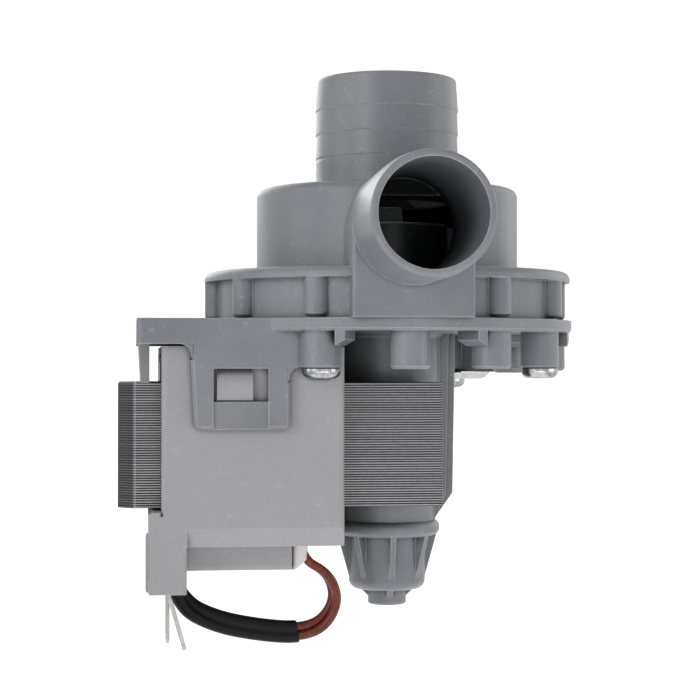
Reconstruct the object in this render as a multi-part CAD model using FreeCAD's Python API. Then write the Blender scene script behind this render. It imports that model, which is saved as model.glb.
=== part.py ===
"""Drain pump of a glasswasher: wet-rotor synchronous motor, bracket with rotor can, and pump head.

Millimetres. +Z is the pump axis and points out of the inlet. The origin is on that axis, in the plane
of the ends of the mounting bosses. The coils lie towards -X and the outlet points to -Y.
Angles round the axis are measured from -Y, positive towards +X.
"""

import FreeCAD
import Part
import math
import os

from FreeCAD import Vector

os.makedirs("parts", exist_ok=True)

# Joint between pump head and bracket
boss_length = 7.55
plate_thickness = 2.45
joint_z = boss_length + plate_thickness
plate_radius = 39.1
fit_gap = 0.05
loose_gap = 0.2

# Pump head
chamber_radius = 25.7
chamber_wall = 2.0
chamber_height = 24.85
ceiling_thickness = 2.95
head_edge_round = 1.7
flange_radius = 38.76
flange_bottom = 8.04
flange_thickness = 2.16
flange_round = 1.6
skirt_radius = 36.1
skirt_wall = 1.9
pilaster_radius = 2.5
pilaster_circle_radius = 36.2
pilaster_lift = 0.3
pilaster_chamfer = 0.6
seal_land_radius = 31.4
seal_land_gap = 2.7

# Inlet and outlet spigots
inlet_height = 51.45
inlet_bore_radius = 12.6
inlet_rim_radius = 14.75
inlet_barb_radius = 15.2
outlet_height = 18.2
outlet_reach = 64.0
outlet_bore_radius = 10.2
outlet_rim_radius = 11.55
outlet_barb_radius = 12.0
barb_pitch = 5.1
barb_step = 0.22
barb_count = 3
first_barb = 6.85
rim_round = 0.7
outlet_block_reach = 39.6
outlet_block_round = 0.6
root_step = 0.08
root_lead = 0.8
root_gap = 0.3
inlet_foot_radius = 15.3
outlet_foot_radius = 11.6
outlet_bore_end = 23.5

# Fixings
boss_from_land = 2.6
long_boss_shift = 0.65
boss_radius = 3.95
boss_chamfer = 0.5
long_boss_drop = 1.0
side_boss_drop = 0.5
screw_angles = (-30.0, 60.0)
plain_boss_angle = 30.0
mounting_boss_angles = (0.0, 180.0)
side_boss_angle = 90.0
rear_boss_angle = 120.0
rear_screw_angle = 148.3
hidden_screw_angle = -120.0
boss_web_thickness = 2.0
mounting_hole_radius = 1.7
mounting_hole_depth = 8.0
screw_shank_radius = 1.7
screw_hole_radius = 2.1
screw_reach = 6.0
head_radius = 3.8
head_height = 2.0
head_dome = 1.5
recess_radius = 1.5
recess_depth = 1.2
strap_thickness = 1.4
strap_width = 9.0
strap_out = 9.0
strap_bend = 2.6
strap_upstand = 1.2

# Bracket: ribs, arm over the coils and clip
ribbed_boss_angles = (0.0, 90.0, 180.0)
rib_angle = 21.3
rib_thickness = 2.0
rib_depth = 3.0
rib_bevel = 1.1
rib_length = 8.0
arm_end = 53.1
arm_gap = 0.3
arm_wall = 2.3
arm_skirt = 5.1
arm_corner = 1.2
leg_wall = 2.6
leg_inset = 0.4
skirt_end = 12.4
clip_near = 23.05
clip_far = 42.6
clip_bottom = 22.0
window_near = 27.3
window_far = 38.1
window_top = 9.93
window_bottom = 16.45
clip_recess = 0.5
clip_fillet = 2.0
clip_taper = 0.8
clip_corner = 0.8
web_bottom = 9.6

# Rotor can
can_radius = 11.2
can_bore_radius = 9.9
neck_radius = 10.1
neck_bore_radius = 8.7
collar_top = 42.0
collar_bottom = 45.3
collar_radius = 11.2
collar_round = 1.5
cap_radius = 8.1
cap_bore_radius = 6.3
cap_bottom = 56.7
cap_floor = 1.9
cap_round = 2.0
cap_rib_count = 8
cap_rib_thickness = 1.2
cap_rib_foot = 54.1
end_boss_radius = 4.05
end_boss_bottom = 59.95
gusset_thickness = 1.2
gusset_reach = 5.7
spine_radius = 14.55
spine_step_radius = 12.9
spine_thickness = 2.6
spine_step_thickness = 5.6
spine_foot = 36.5

# Stator core
lamination_count = 50
lamination_thickness = 0.5
lamination_bevel = 0.11
core_top = 12.83
core_left = 56.8
core_right = 8.7
core_half_width = 20.0
leg_thickness = 8.5
yoke_thickness = 8.5
core_chamfer = 3.0
pole_gap = 1.1

# Coils
bobbin_wall = 0.95
bobbin_gap = 0.15
flange_wall = 1.2
winding_clearance = 0.1
bobbin_clearance = 0.3

# Coil cover
cover_left = 48.2
cover_right = 11.9
cover_side_room = 6.0
cover_top = 5.6
cover_bottom = 45.3
cover_wall = 1.4
cover_edge_round = 1.2
lip_height = 4.0
lip_depth = 1.7
catch_near = 30.3
catch_far = 37.4
catch_top = 9.7
catch_bottom = 16.3
catch_depth = 1.8
catch_round = 4.0
block_left = 50.7
block_right = 43.2
block_rear = 2.0
block_top = 38.3
block_bottom = 54.5
block_chamfer = 0.8
block_round = 0.7
rail_out = 0.6
rail_margin = 0.8
rail_depth = 4.0
rail_top = 42.55
rail_bottom = 54.1
duct_front = 16.4
duct_rear = 6.0
duct_bottom = 50.95
duct_round = 1.2

# Terminals
terminal_thickness = 0.8
terminal_width = 6.3
terminal_embed = 8.2
terminal_out = 11.2
terminal_tip_chamfer = 1.0
terminal_hole_radius = 0.85
straight_terminal_x = -46.7
straight_terminal_y = -7.7
bent_terminal_x = -46.7
bent_terminal_inset = 5.7
bent_terminal_angle = 16.5

# Thermal cut-out
cutout_left = 37.0
cutout_length = 14.0
cutout_height = 6.0
cutout_thickness = 3.4

# Leads
lead_inset = 12.0
lead_radius = 0.92
lead_offset = 1.0
pocket_depth = 3.0
pocket_lean = 0.8
sleeve_clearance = 0.13
sleeve_wall = 0.28
tube_wall = 0.45
tube_clearance = 0.2

# Rotor
shaft_radius = 2.0
shaft_short = 0.9
shaft_top = 17.0
magnet_radius = 9.2
magnet_bore_radius = 4.6
magnet_top = 13.3
magnet_length = 24.0
magnet_chamfer = 0.6
overmould_end = 1.0
overmould_radius = 8.2
overmould_foot_radius = 4.0
shaft_fit = 0.03
running_gap = 0.06
bearing_radius = 4.2
bearing_length = 5.0
bearing_lift = 1.9
seat_radius = 6.2
seat_overlap = 0.4
washer_radius = 4.1
washer_thickness = 0.8
carrier_flange_radius = 13.2
carrier_flange = 1.3
ring_groove_top = 3.2
ring_groove_width = 2.0
ring_section_radius = 0.85
cover_seal_section_radius = 1.3

# Coupling and impeller
impeller_bottom = 2.2
hub_radius = 13.3
hub_wall = 1.9
hub_top = 20.3
hub_roof = 2.0
hub_boss_radius = 4.4
hub_boss_bottom = 10.7
lug_half_angle = 45.0
lug_inner_radius = 5.0
dog_hub_radius = 3.5
dog_bottom = 4.0
dog_height = 6.0
dog_half_angle = 20.0
dog_radius = 9.4
pad_angle = 8.0
pad_inner_radius = 4.2
coupling_cap_thickness = 1.2
coupling_cap_bore = 4.3
vane_count = 4
first_vane_angle = -20.0
vane_thickness = 2.0
vane_radius = 21.2
vane_top = 19.6
vane_round = 1.4
disc_radius = 17.0
disc_thickness = 1.3
fin_thickness = 2.0
fin_top = 24.3
fin_short = 3.35
fin_long = 12.2
fin_round = 1.1
fin_angle = -6.6


def box(x0, x1, y0, y1, z0, z1):
    return Part.makeBox(x1 - x0, y1 - y0, z1 - z0, Vector(x0, y0, z0))


def cylinder(radius, z0, z1, x=0.0, y=0.0):
    return Part.makeCylinder(radius, z1 - z0, Vector(x, y, z0))


def ring(outer, inner, z0, z1):
    return cylinder(outer, z0, z1).cut(cylinder(inner, z0 - 1, z1 + 1))


def around(radius, angle):
    """The x and y of a point on a circle round the axis, the angle from -Y towards +X."""
    turn = math.radians(angle)
    return radius * math.sin(turn), -radius * math.cos(turn)


def turned(shape, angle):
    """A copy turned round the axis, so that what lay towards -Y lies at the angle."""
    copy = shape.copy()
    copy.rotate(Vector(0, 0, 0), Vector(0, 0, 1), angle)
    return copy


def outline_face(corners, rounds):
    """A flat face with straight sides, whose corners are rounded where their radius isn't zero."""
    arcs = []
    for number, (corner, radius) in enumerate(zip(corners, rounds)):
        back = (corners[number - 1] - corner).normalize()
        ahead = (corners[(number + 1) % len(corners)] - corner).normalize()
        half = back.getAngle(ahead) / 2
        inward = back + ahead
        if inward.Length > 1e-9:
            inward.normalize()
        cut = radius / math.tan(half)
        middle = corner + inward * (radius / math.sin(half) - radius)
        arcs.append((corner + back * cut, middle, corner + ahead * cut))
    edges = []
    for number, (first, middle, last) in enumerate(arcs):
        if rounds[number]:
            edges.append(Part.Arc(first, middle, last).toShape())
        following = arcs[(number + 1) % len(arcs)][0]
        if last.distanceToPoint(following) > 1e-6:
            edges.append(Part.LineSegment(last, following).toShape())
    return Part.Face(Part.Wire(edges))


def lathe(profile, centre=(0.0, 0.0)):
    """A closed profile of (radius, z) points turned round the upright line through the centre.

    A third number in a point is the radius that rounds this corner.
    """
    corners = [Vector(point[0], 0, point[1]) for point in profile]
    rounds = [point[2] if len(point) > 2 else 0 for point in profile]
    solid = outline_face(corners, rounds).revolve(Vector(0, 0, 0), Vector(0, 0, 1), 360)
    solid.translate(Vector(centre[0], centre[1], 0))
    return solid


def prism(outline, direction):
    """A closed outline of (x, y, z) points, pushed along a vector; a fourth number rounds a corner."""
    corners = [Vector(*point[:3]) for point in outline]
    rounds = [point[3] if len(point) > 3 else 0 for point in outline]
    return outline_face(corners, rounds).extrude(Vector(*direction))


def soft_ring(radius, section_radius, z):
    """A sealing ring of eight-sided section, lying flat round the axis."""
    sides = [2 * math.pi * (number + 0.5) / 8 for number in range(8)]
    return lathe([
        (radius + section_radius * math.cos(turn), z + section_radius * math.sin(turn))
        for turn in sides
    ])


def sector(inner, outer, half_angle, middle_angle, z0, z1):
    """A piece of a ring that spans the half angle to each side of its middle."""
    solid = Part.makeCylinder(
        outer, z1 - z0, Vector(0, 0, z0), Vector(0, 0, 1), 2 * half_angle
    )
    solid.rotate(Vector(0, 0, 0), Vector(0, 0, 1), middle_angle - 90 - half_angle)
    return solid.cut(cylinder(inner, z0 - 1, z1 + 1))


def edges_where(shape, test):
    return [edge for edge in shape.Edges if test(edge)]


def upright(edge):
    """Whether an edge is straight and runs along Z."""
    box_of = edge.BoundBox
    return box_of.XLength < 1e-6 and box_of.YLength < 1e-6 and box_of.ZLength > 1e-6


def rounded_box(x0, x1, y0, y1, z0, z1, radius):
    """A box whose four upright edges are rounded."""
    solid = box(x0, x1, y0, y1, z0, z1)
    return solid.makeFillet(radius, edges_where(solid, upright))


def save(name, shape):
    """Write one sub-part, its split faces joined where that leaves it sound."""
    joined = shape.copy().removeSplitter()
    if joined.isValid():
        shape = joined
    for solid in shape.Solids:
        if not solid.isValid():
            raise ValueError(name + " is not a sound solid")
    if not shape.Solids:
        raise ValueError(name + " has no solid")
    if len(shape.Solids) == 1:
        shape = shape.Solids[0]
    shape.exportStep("parts/" + name + ".step")


# Heights that follow from the driving dimensions
flange_top = joint_z + flange_bottom + flange_thickness
ceiling_z = joint_z + chamber_height
head_top = ceiling_z + ceiling_thickness
inlet_top = joint_z + inlet_height
outlet_z = joint_z + outlet_height
plate_bottom = joint_z - plate_thickness
stack_top = joint_z - core_top
stack_bottom = stack_top - lamination_count * lamination_thickness
can_end = joint_z - collar_bottom
cap_end = joint_z - cap_bottom
cavity_floor = cap_end + cap_floor
rib_bottom = plate_bottom - rib_depth
strap_top = -long_boss_drop

# The bosses stand on two circles just outside the seal land
boss_circle_radius = seal_land_radius + boss_from_land
long_boss_circle_radius = boss_circle_radius + long_boss_shift

# Widths that follow from the core's
cover_half_width = core_half_width + cover_side_room
lead_y = lead_inset - cover_half_width
arm_half_width = cover_half_width + arm_gap + arm_wall
winding_build = (
    cover_half_width - cover_wall - bobbin_clearance
    - core_half_width - bobbin_gap - bobbin_wall - winding_clearance
)
bent_terminal_y = bent_terminal_inset - cover_half_width

# The rotor's foot, which stands on the lower bearing
lower_bearing_low = cavity_floor + bearing_lift
lower_bearing_top = lower_bearing_low + bearing_length
overmould_foot_z = lower_bearing_top + washer_thickness + 2 * fit_gap

# Where each cover screw stands, as circle radius and angle, with the height of its head's seat
screw_places = (
    (boss_circle_radius, screw_angles[0], 0.0),
    (boss_circle_radius, screw_angles[1], 0.0),
    (long_boss_circle_radius, rear_screw_angle, strap_top - strap_thickness),
    (boss_circle_radius, hidden_screw_angle, plate_bottom),
)


def spigot(rim, barb, mouth, root, foot_radius, foot):
    """A hose spigot, solid: its barbs widen from the mouth to a plain root, which tapers from its end to
    the foot."""
    points = [(0, mouth), (rim, mouth, rim_round)]
    place = mouth - first_barb
    for number in range(barb_count):
        points.append((barb, place))
        points.append((barb - barb_step, place - 0.05))
        place -= barb_pitch
    points.append((barb - root_step, place + barb_pitch - root_lead))
    points.append((barb - root_step, root))
    points.append((foot_radius, foot))
    points.append((0, foot))
    return lathe(points)


def pump_head():
    """The moulded volute cover with its spigots, flange, skirt, screw columns and seal land."""
    wall = chamber_radius + chamber_wall
    shell = lathe([
        (0, joint_z),
        (wall, joint_z),
        (wall, head_top, head_edge_round),
        (0, head_top),
    ])
    flange = lathe([
        (wall - 1, flange_top - flange_thickness),
        (flange_radius, flange_top - flange_thickness),
        (flange_radius, flange_top, flange_round),
        (wall - 1, flange_top),
    ])
    skirt = ring(skirt_radius, skirt_radius - skirt_wall, joint_z, flange_top - 0.5)
    land = ring(seal_land_radius, wall - 0.5, joint_z + seal_land_gap, flange_top - 0.5)
    head = shell.fuse([flange, skirt, land])

    column_top = flange_top - flange_thickness / 2
    for circle, angle, seat in screw_places:
        x, y = around(circle, angle)
        column = cylinder(boss_radius - 1.2, joint_z, column_top, x, y)
        head = head.fuse(column)
    foot = joint_z + pilaster_lift
    pilaster = cylinder(pilaster_radius, foot, column_top, 0, -pilaster_circle_radius)
    pilaster = pilaster.makeChamfer(
        pilaster_chamfer,
        edges_where(pilaster, lambda e: e.BoundBox.ZMax < foot + 1e-6),
    )
    head = head.fuse([turned(pilaster, angle) for angle in range(30, 331, 30)])

    block = box(
        -outlet_barb_radius, outlet_barb_radius,
        -outlet_block_reach, -chamber_radius,
        joint_z, outlet_z,
    )
    block = block.makeFillet(
        outlet_block_round,
        edges_where(block, lambda e: upright(e) and e.BoundBox.YMin < -chamber_radius - 1),
    )
    block = block.cut(ring(seal_land_radius, wall - 0.5, joint_z - 1, joint_z + seal_land_gap))
    inlet_root = outlet_z + outlet_barb_radius + root_gap
    inlet = spigot(
        inlet_rim_radius, inlet_barb_radius, inlet_top, inlet_root, inlet_foot_radius, head_top - 0.5
    )
    outlet = spigot(
        outlet_rim_radius, outlet_barb_radius, outlet_reach, outlet_block_reach, outlet_foot_radius, 0
    )
    outlet.rotate(Vector(0, 0, 0), Vector(1, 0, 0), 90)
    outlet.translate(Vector(0, 0, outlet_z))
    head = head.fuse([block, inlet, outlet])

    hollow = cylinder(chamber_radius, joint_z - 1, ceiling_z)
    inlet_bore = cylinder(inlet_bore_radius, ceiling_z - 1, inlet_top + 1)
    outlet_bore = Part.makeCylinder(
        outlet_bore_radius, outlet_reach + 1 - outlet_bore_end,
        Vector(0, -outlet_bore_end, outlet_z), Vector(0, -1, 0),
    )
    head = head.cut([hollow, inlet_bore, outlet_bore])
    for circle, angle, seat in screw_places:
        x, y = around(circle, angle)
        hole = cylinder(
            screw_shank_radius + fit_gap, joint_z - 1, joint_z + screw_reach + 0.5, x, y
        )
        head = head.cut(hole)
    save("volute_cover", head)


def cover_seal():
    """The ring that the seal land presses on the bracket plate."""
    radius = (chamber_radius + chamber_wall + seal_land_radius) / 2
    middle = joint_z + cover_seal_section_radius + fit_gap
    save("cover_seal", soft_ring(radius, cover_seal_section_radius, middle))


def boss(circle, angle, low, chamfer):
    """A round boss under the plate, with its lower rim chamfered."""
    x, y = around(circle, angle)
    solid = cylinder(boss_radius, low, plate_bottom + 0.5, x, y)
    return solid.makeChamfer(chamfer, edges_where(solid, lambda e: e.BoundBox.ZMax < low + 1e-6))


def bracket_bosses():
    """Bosses under the plate, the web between the rear ones, and the holes of all screws."""
    bosses = [
        boss(boss_circle_radius, angle, 0.0, boss_chamfer)
        for angle in screw_angles + (plain_boss_angle,) + mounting_boss_angles
    ]
    for angle, drop in (
        (side_boss_angle, side_boss_drop),
        (rear_boss_angle, long_boss_drop),
        (rear_screw_angle, long_boss_drop),
    ):
        bosses.append(boss(long_boss_circle_radius, angle, -drop, drop))
    web_half_angle = (rear_screw_angle - rear_boss_angle) / 2
    bosses.append(sector(
        long_boss_circle_radius - boss_web_thickness / 2, long_boss_circle_radius + boss_web_thickness / 2,
        web_half_angle, rear_boss_angle + web_half_angle, strap_top + loose_gap, plate_bottom + 0.5,
    ))
    holes = []
    for angle in mounting_boss_angles:
        x, y = around(boss_circle_radius, angle)
        holes.append(cylinder(mounting_hole_radius, -1, mounting_hole_depth, x, y))
    for circle, angle, seat in screw_places:
        x, y = around(circle, angle)
        holes.append(cylinder(screw_hole_radius, -long_boss_drop - 1, joint_z + 1, x, y))
    return bosses, holes


def bracket_ribs():
    """A pair of short radial ribs beside each ribbed boss, bevelled below on the side of the boss."""
    ribs = []
    top = plate_bottom + 0.5
    outer = plate_radius - 0.3
    for side in (-1, 1):
        near = -side * rib_thickness / 2
        rib = prism(
            [
                (near, -outer, top),
                (-near, -outer, top),
                (-near, -outer, rib_bottom),
                (near, -outer, rib_bottom + rib_bevel),
            ],
            (0, rib_length, 0),
        )
        ribs += [turned(rib, angle + side * rib_angle) for angle in ribbed_boss_angles]
    return ribs


def bracket_arm():
    """The tray over the coils: top, two skirts, end leg, and the clip tab on the front."""
    skirt_low = joint_z - arm_skirt
    inner = arm_half_width - arm_wall
    top = rounded_box(
        -arm_end, 0, -arm_half_width, arm_half_width, plate_bottom, joint_z, arm_corner
    )
    outside = rounded_box(
        -arm_end, 0, -arm_half_width, arm_half_width, skirt_low, joint_z, arm_corner
    )
    middle = box(-arm_end - 1, 1, -inner, inner, skirt_low - 1, plate_bottom)
    open_end = box(-skirt_end, 1, -arm_half_width - 1, arm_half_width + 1, skirt_low - 1, plate_bottom)
    skirts = outside.cut([middle, open_end])
    leg = prism(
        [
            (-arm_end + leg_inset, -core_half_width, joint_z - 0.5),
            (-arm_end + leg_inset, -core_half_width, plate_bottom - 3),
            (-arm_end + 2 * leg_inset, -core_half_width, stack_top + fit_gap),
            (-arm_end + leg_wall, -core_half_width, stack_top + fit_gap),
            (-arm_end + leg_wall, -core_half_width, joint_z - 0.5),
        ],
        (0, 2 * core_half_width, 0),
    )
    return top.fuse([skirts, leg, clip_tab()])


def clip_tab():
    """A flat tab that hangs from the skirt, with a window for the catch on the coil cover."""
    front = -arm_half_width
    back = front + arm_wall
    tab_low = joint_z - clip_bottom
    tab = prism(
        [
            (-clip_far, front, joint_z - 1),
            (-clip_far, front, joint_z - arm_skirt - clip_fillet),
            (-clip_far + clip_taper, front, tab_low, clip_corner),
            (-clip_near, front, tab_low, clip_corner),
            (-clip_near, front, joint_z - 1),
        ],
        (0, arm_wall, 0),
    )
    lower_edges = edges_where(
        tab,
        lambda e: e.BoundBox.YMax < front + 1e-6 and e.BoundBox.ZMax < tab_low + 1e-6,
    )
    tab = tab.makeChamfer(0.6, lower_edges)
    boss_x, boss_y = around(boss_circle_radius, screw_angles[0])
    web = box(-clip_near - 1, boss_x, front, back, joint_z - web_bottom, joint_z - 1)
    tab = tab.fuse(web)

    corner_near = box(
        -clip_near, -clip_near + clip_fillet, front, back,
        joint_z - web_bottom - clip_fillet, joint_z - web_bottom,
    )
    corner_near = corner_near.cut(Part.makeCylinder(
        clip_fillet, arm_wall + 2,
        Vector(-clip_near + clip_fillet, front - 1, joint_z - web_bottom - clip_fillet),
        Vector(0, 1, 0),
    ))
    corner_far = box(
        -clip_far - clip_fillet, -clip_far, front, back,
        joint_z - arm_skirt - clip_fillet, joint_z - arm_skirt,
    )
    corner_far = corner_far.cut(Part.makeCylinder(
        clip_fillet, arm_wall + 2,
        Vector(-clip_far - clip_fillet, front - 1, joint_z - arm_skirt - clip_fillet),
        Vector(0, 1, 0),
    ))
    window = box(
        -window_far, -window_near, front - 1, back + 1,
        joint_z - window_bottom, joint_z - window_top,
    )
    recess = box(
        -window_far, -window_near, front - 1, front + clip_recess,
        tab_low - 1, joint_z - window_top,
    )
    return tab.fuse([corner_near, corner_far]).cut([window, recess])


def can_outside():
    """The rotor can from the plate to its end boss, solid, with ribs, gussets and spine."""
    body = lathe([
        (0, joint_z - 0.5),
        (can_radius + 1.0, joint_z - 0.5),
        (can_radius + 1.0, plate_bottom),
        (can_radius, plate_bottom - 1.0),
        (can_radius, stack_bottom),
        (neck_radius + 0.2, stack_bottom - 0.6),
        (neck_radius, joint_z - collar_top),
        (collar_radius, joint_z - collar_top, collar_round),
        (collar_radius, can_end, collar_round),
        (cap_radius, can_end),
        (cap_radius, cap_end, cap_round),
        (end_boss_radius, cap_end),
        (end_boss_radius, joint_z - end_boss_bottom + 0.3),
        (end_boss_radius - 0.3, joint_z - end_boss_bottom),
        (0, joint_z - end_boss_bottom),
    ])
    pieces = []
    for number in range(cap_rib_count):
        rib = prism(
            [
                (-cap_rib_thickness / 2, -cap_radius + 1, can_end + 0.3),
                (-cap_rib_thickness / 2, -collar_radius + 0.2, can_end + collar_round),
                (-cap_rib_thickness / 2, -cap_radius, joint_z - cap_rib_foot),
                (-cap_rib_thickness / 2, -cap_radius + 1, joint_z - cap_rib_foot),
            ],
            (cap_rib_thickness, 0, 0),
        )
        gusset = prism(
            [
                (-gusset_thickness / 2, 0, cap_end + 0.3),
                (-gusset_thickness / 2, -gusset_reach, cap_end + 0.3),
                (-gusset_thickness / 2, -gusset_reach, cap_end),
                (-gusset_thickness / 2, -end_boss_radius, cap_end - 1.6),
                (-gusset_thickness / 2, 0, cap_end - 1.6),
            ],
            (gusset_thickness, 0, 0),
        )
        angle = number * 360.0 / cap_rib_count
        pieces.append(turned(rib, angle))
        if number % 2 == 0:
            pieces.append(turned(gusset, angle))
    for reach, thickness in (
        (spine_radius, spine_thickness),
        (spine_step_radius, spine_step_thickness),
    ):
        pieces.append(prism(
            [
                (can_radius - 1.0, -thickness / 2, joint_z - 0.5),
                (reach, -thickness / 2, joint_z - 0.5),
                (reach - 0.6, -thickness / 2, joint_z - spine_foot),
                (collar_radius - collar_round, -thickness / 2, joint_z - collar_top - 0.4),
                (neck_radius - 0.9, -thickness / 2, joint_z - collar_top - 0.4),
            ],
            (0, thickness, 0),
        ))
    return body.fuse(pieces)


def motor_bracket():
    """The second large moulding: plate, bosses, ribs, arm with clip, and the rotor can."""
    plate = cylinder(plate_radius, plate_bottom, joint_z)
    rim = edges_where(plate, lambda e: e.BoundBox.ZMax < plate_bottom + 1e-6)
    plate = plate.makeChamfer(0.4, rim)
    bosses, holes = bracket_bosses()
    solid = plate.fuse([bracket_arm(), can_outside()] + bosses + bracket_ribs())
    cavity = lathe([
        (0, joint_z + 1),
        (can_bore_radius, joint_z + 1),
        (can_bore_radius, stack_bottom),
        (neck_bore_radius, stack_bottom - 0.8),
        (neck_bore_radius, can_end + 0.6),
        (cap_bore_radius, can_end),
        (cap_bore_radius, cavity_floor),
        (0, cavity_floor),
    ])
    save("motor_bracket", solid.cut([cavity] + holes))


def cover_screw(circle, angle, seat):
    """A pan-head screw with a hexagon recess, its head below the seat."""
    x, y = around(circle, angle)
    low = seat - head_height
    head = lathe([(0, seat), (head_radius, seat), (head_radius, low, head_dome), (0, low)], (x, y))
    shank = cylinder(screw_shank_radius, seat - 0.1, joint_z + screw_reach, x, y)
    corners = [around(recess_radius, 60.0 * k) for k in range(6)]
    recess = prism([(x + a, y + b, low - 0.1) for a, b in corners], (0, 0, recess_depth + 0.1))
    return head.fuse(shank).cut(recess)


def cover_screws():
    """Three screws seat on bosses, one of them through the strap, and the fourth on the plate."""
    save("cover_screws", Part.makeCompound([cover_screw(*place) for place in screw_places]))


def fixing_strap():
    """The bent steel strap under the head of the rear screw, turned up at its free end."""
    x, y = around(long_boss_circle_radius, rear_screw_angle)
    start = x - boss_radius - 1.5
    end = x + strap_out
    front = y - strap_width / 2
    low = strap_top - strap_thickness
    high = low + strap_bend + strap_upstand
    strip = prism(
        [
            (start, front, low),
            (end, front, low, strap_bend),
            (end, front, high),
            (end - strap_thickness, front, high),
            (end - strap_thickness, front, strap_top, strap_bend - strap_thickness),
            (start, front, strap_top),
        ],
        (0, strap_width, 0),
    )
    corners = edges_where(strip, lambda e: upright(e) and e.BoundBox.XMax < start + 1e-6)
    strip = strip.makeFillet(strap_thickness / 2, corners)
    save("fixing_strap", strip.cut(cylinder(screw_hole_radius, low - 1, strap_top + 1, x, y)))


def core_outline(inset, z):
    """The outer outline of one lamination, drawn in by the inset, at a height."""
    left = -core_left + inset
    right = core_right - inset
    side = core_half_width - inset
    corner = core_chamfer - inset * (2 - math.sqrt(2))
    points = [
        Vector(right, -side, z),
        Vector(left + corner, -side, z),
        Vector(left, -side + corner, z),
        Vector(left, side - corner, z),
        Vector(left + corner, side, z),
        Vector(right, side, z),
    ]
    return Part.makePolygon(points + points[:1])


def stator_core():
    """The U-shaped stack of stamped laminations, each sheet's edge bevelled so that the joints show."""
    outlines = [core_outline(lamination_bevel, stack_bottom)]
    for number in range(lamination_count):
        low = stack_bottom + number * lamination_thickness
        high = low + lamination_thickness
        outlines.append(core_outline(0, low + lamination_bevel))
        outlines.append(core_outline(0, high - lamination_bevel))
        outlines.append(core_outline(lamination_bevel, high))
    stack = Part.makeLoft(outlines, True, True)
    leg_inside = core_half_width - leg_thickness
    window = box(
        -core_left + yoke_thickness, core_right + 1, -leg_inside, leg_inside,
        stack_bottom - 1, stack_top + 1,
    )
    bore = cylinder(can_radius + pole_gap, stack_bottom - 1, stack_top + 1)
    save("stator_core", stack.cut([window, bore]))


def coil(name, side):
    """One bobbin with its flanges, and the winding on it, round the leg on that side of the axis."""
    leg_outer = side * core_half_width
    leg_inner = side * (core_half_width - leg_thickness)
    y0, y1 = min(leg_outer, leg_inner), max(leg_outer, leg_inner)
    tube = bobbin_gap + bobbin_wall
    left = -cover_left + loose_gap
    right = -cover_right - loose_gap
    low_leg, high_leg = stack_bottom, stack_top

    def around_leg(grow, x0, x1, radius):
        solid = box(x0, x1, y0 - grow, y1 + grow, low_leg - grow, high_leg + grow)
        if radius:
            long_edges = edges_where(solid, lambda e: e.BoundBox.XLength > 1)
            solid = solid.makeFillet(radius, long_edges)
        return solid

    flange_grow = tube + winding_build + winding_clearance
    spool = around_leg(tube, left, right, 0.6)
    spool = spool.fuse([
        around_leg(flange_grow, left, left + flange_wall, 1.5),
        around_leg(flange_grow, right - flange_wall, right, 1.5),
    ])
    spool = spool.cut(around_leg(bobbin_gap, left - 1, right + 1, 0))
    save("coil_bobbin_" + name, spool)

    wound = around_leg(
        tube + winding_build, left + flange_wall + fit_gap, right - flange_wall - fit_gap, winding_build,
    )
    wound = wound.cut(around_leg(tube + fit_gap, left - 1, right + 1, 0.6 + fit_gap))
    save("coil_winding_" + name, wound)


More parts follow.
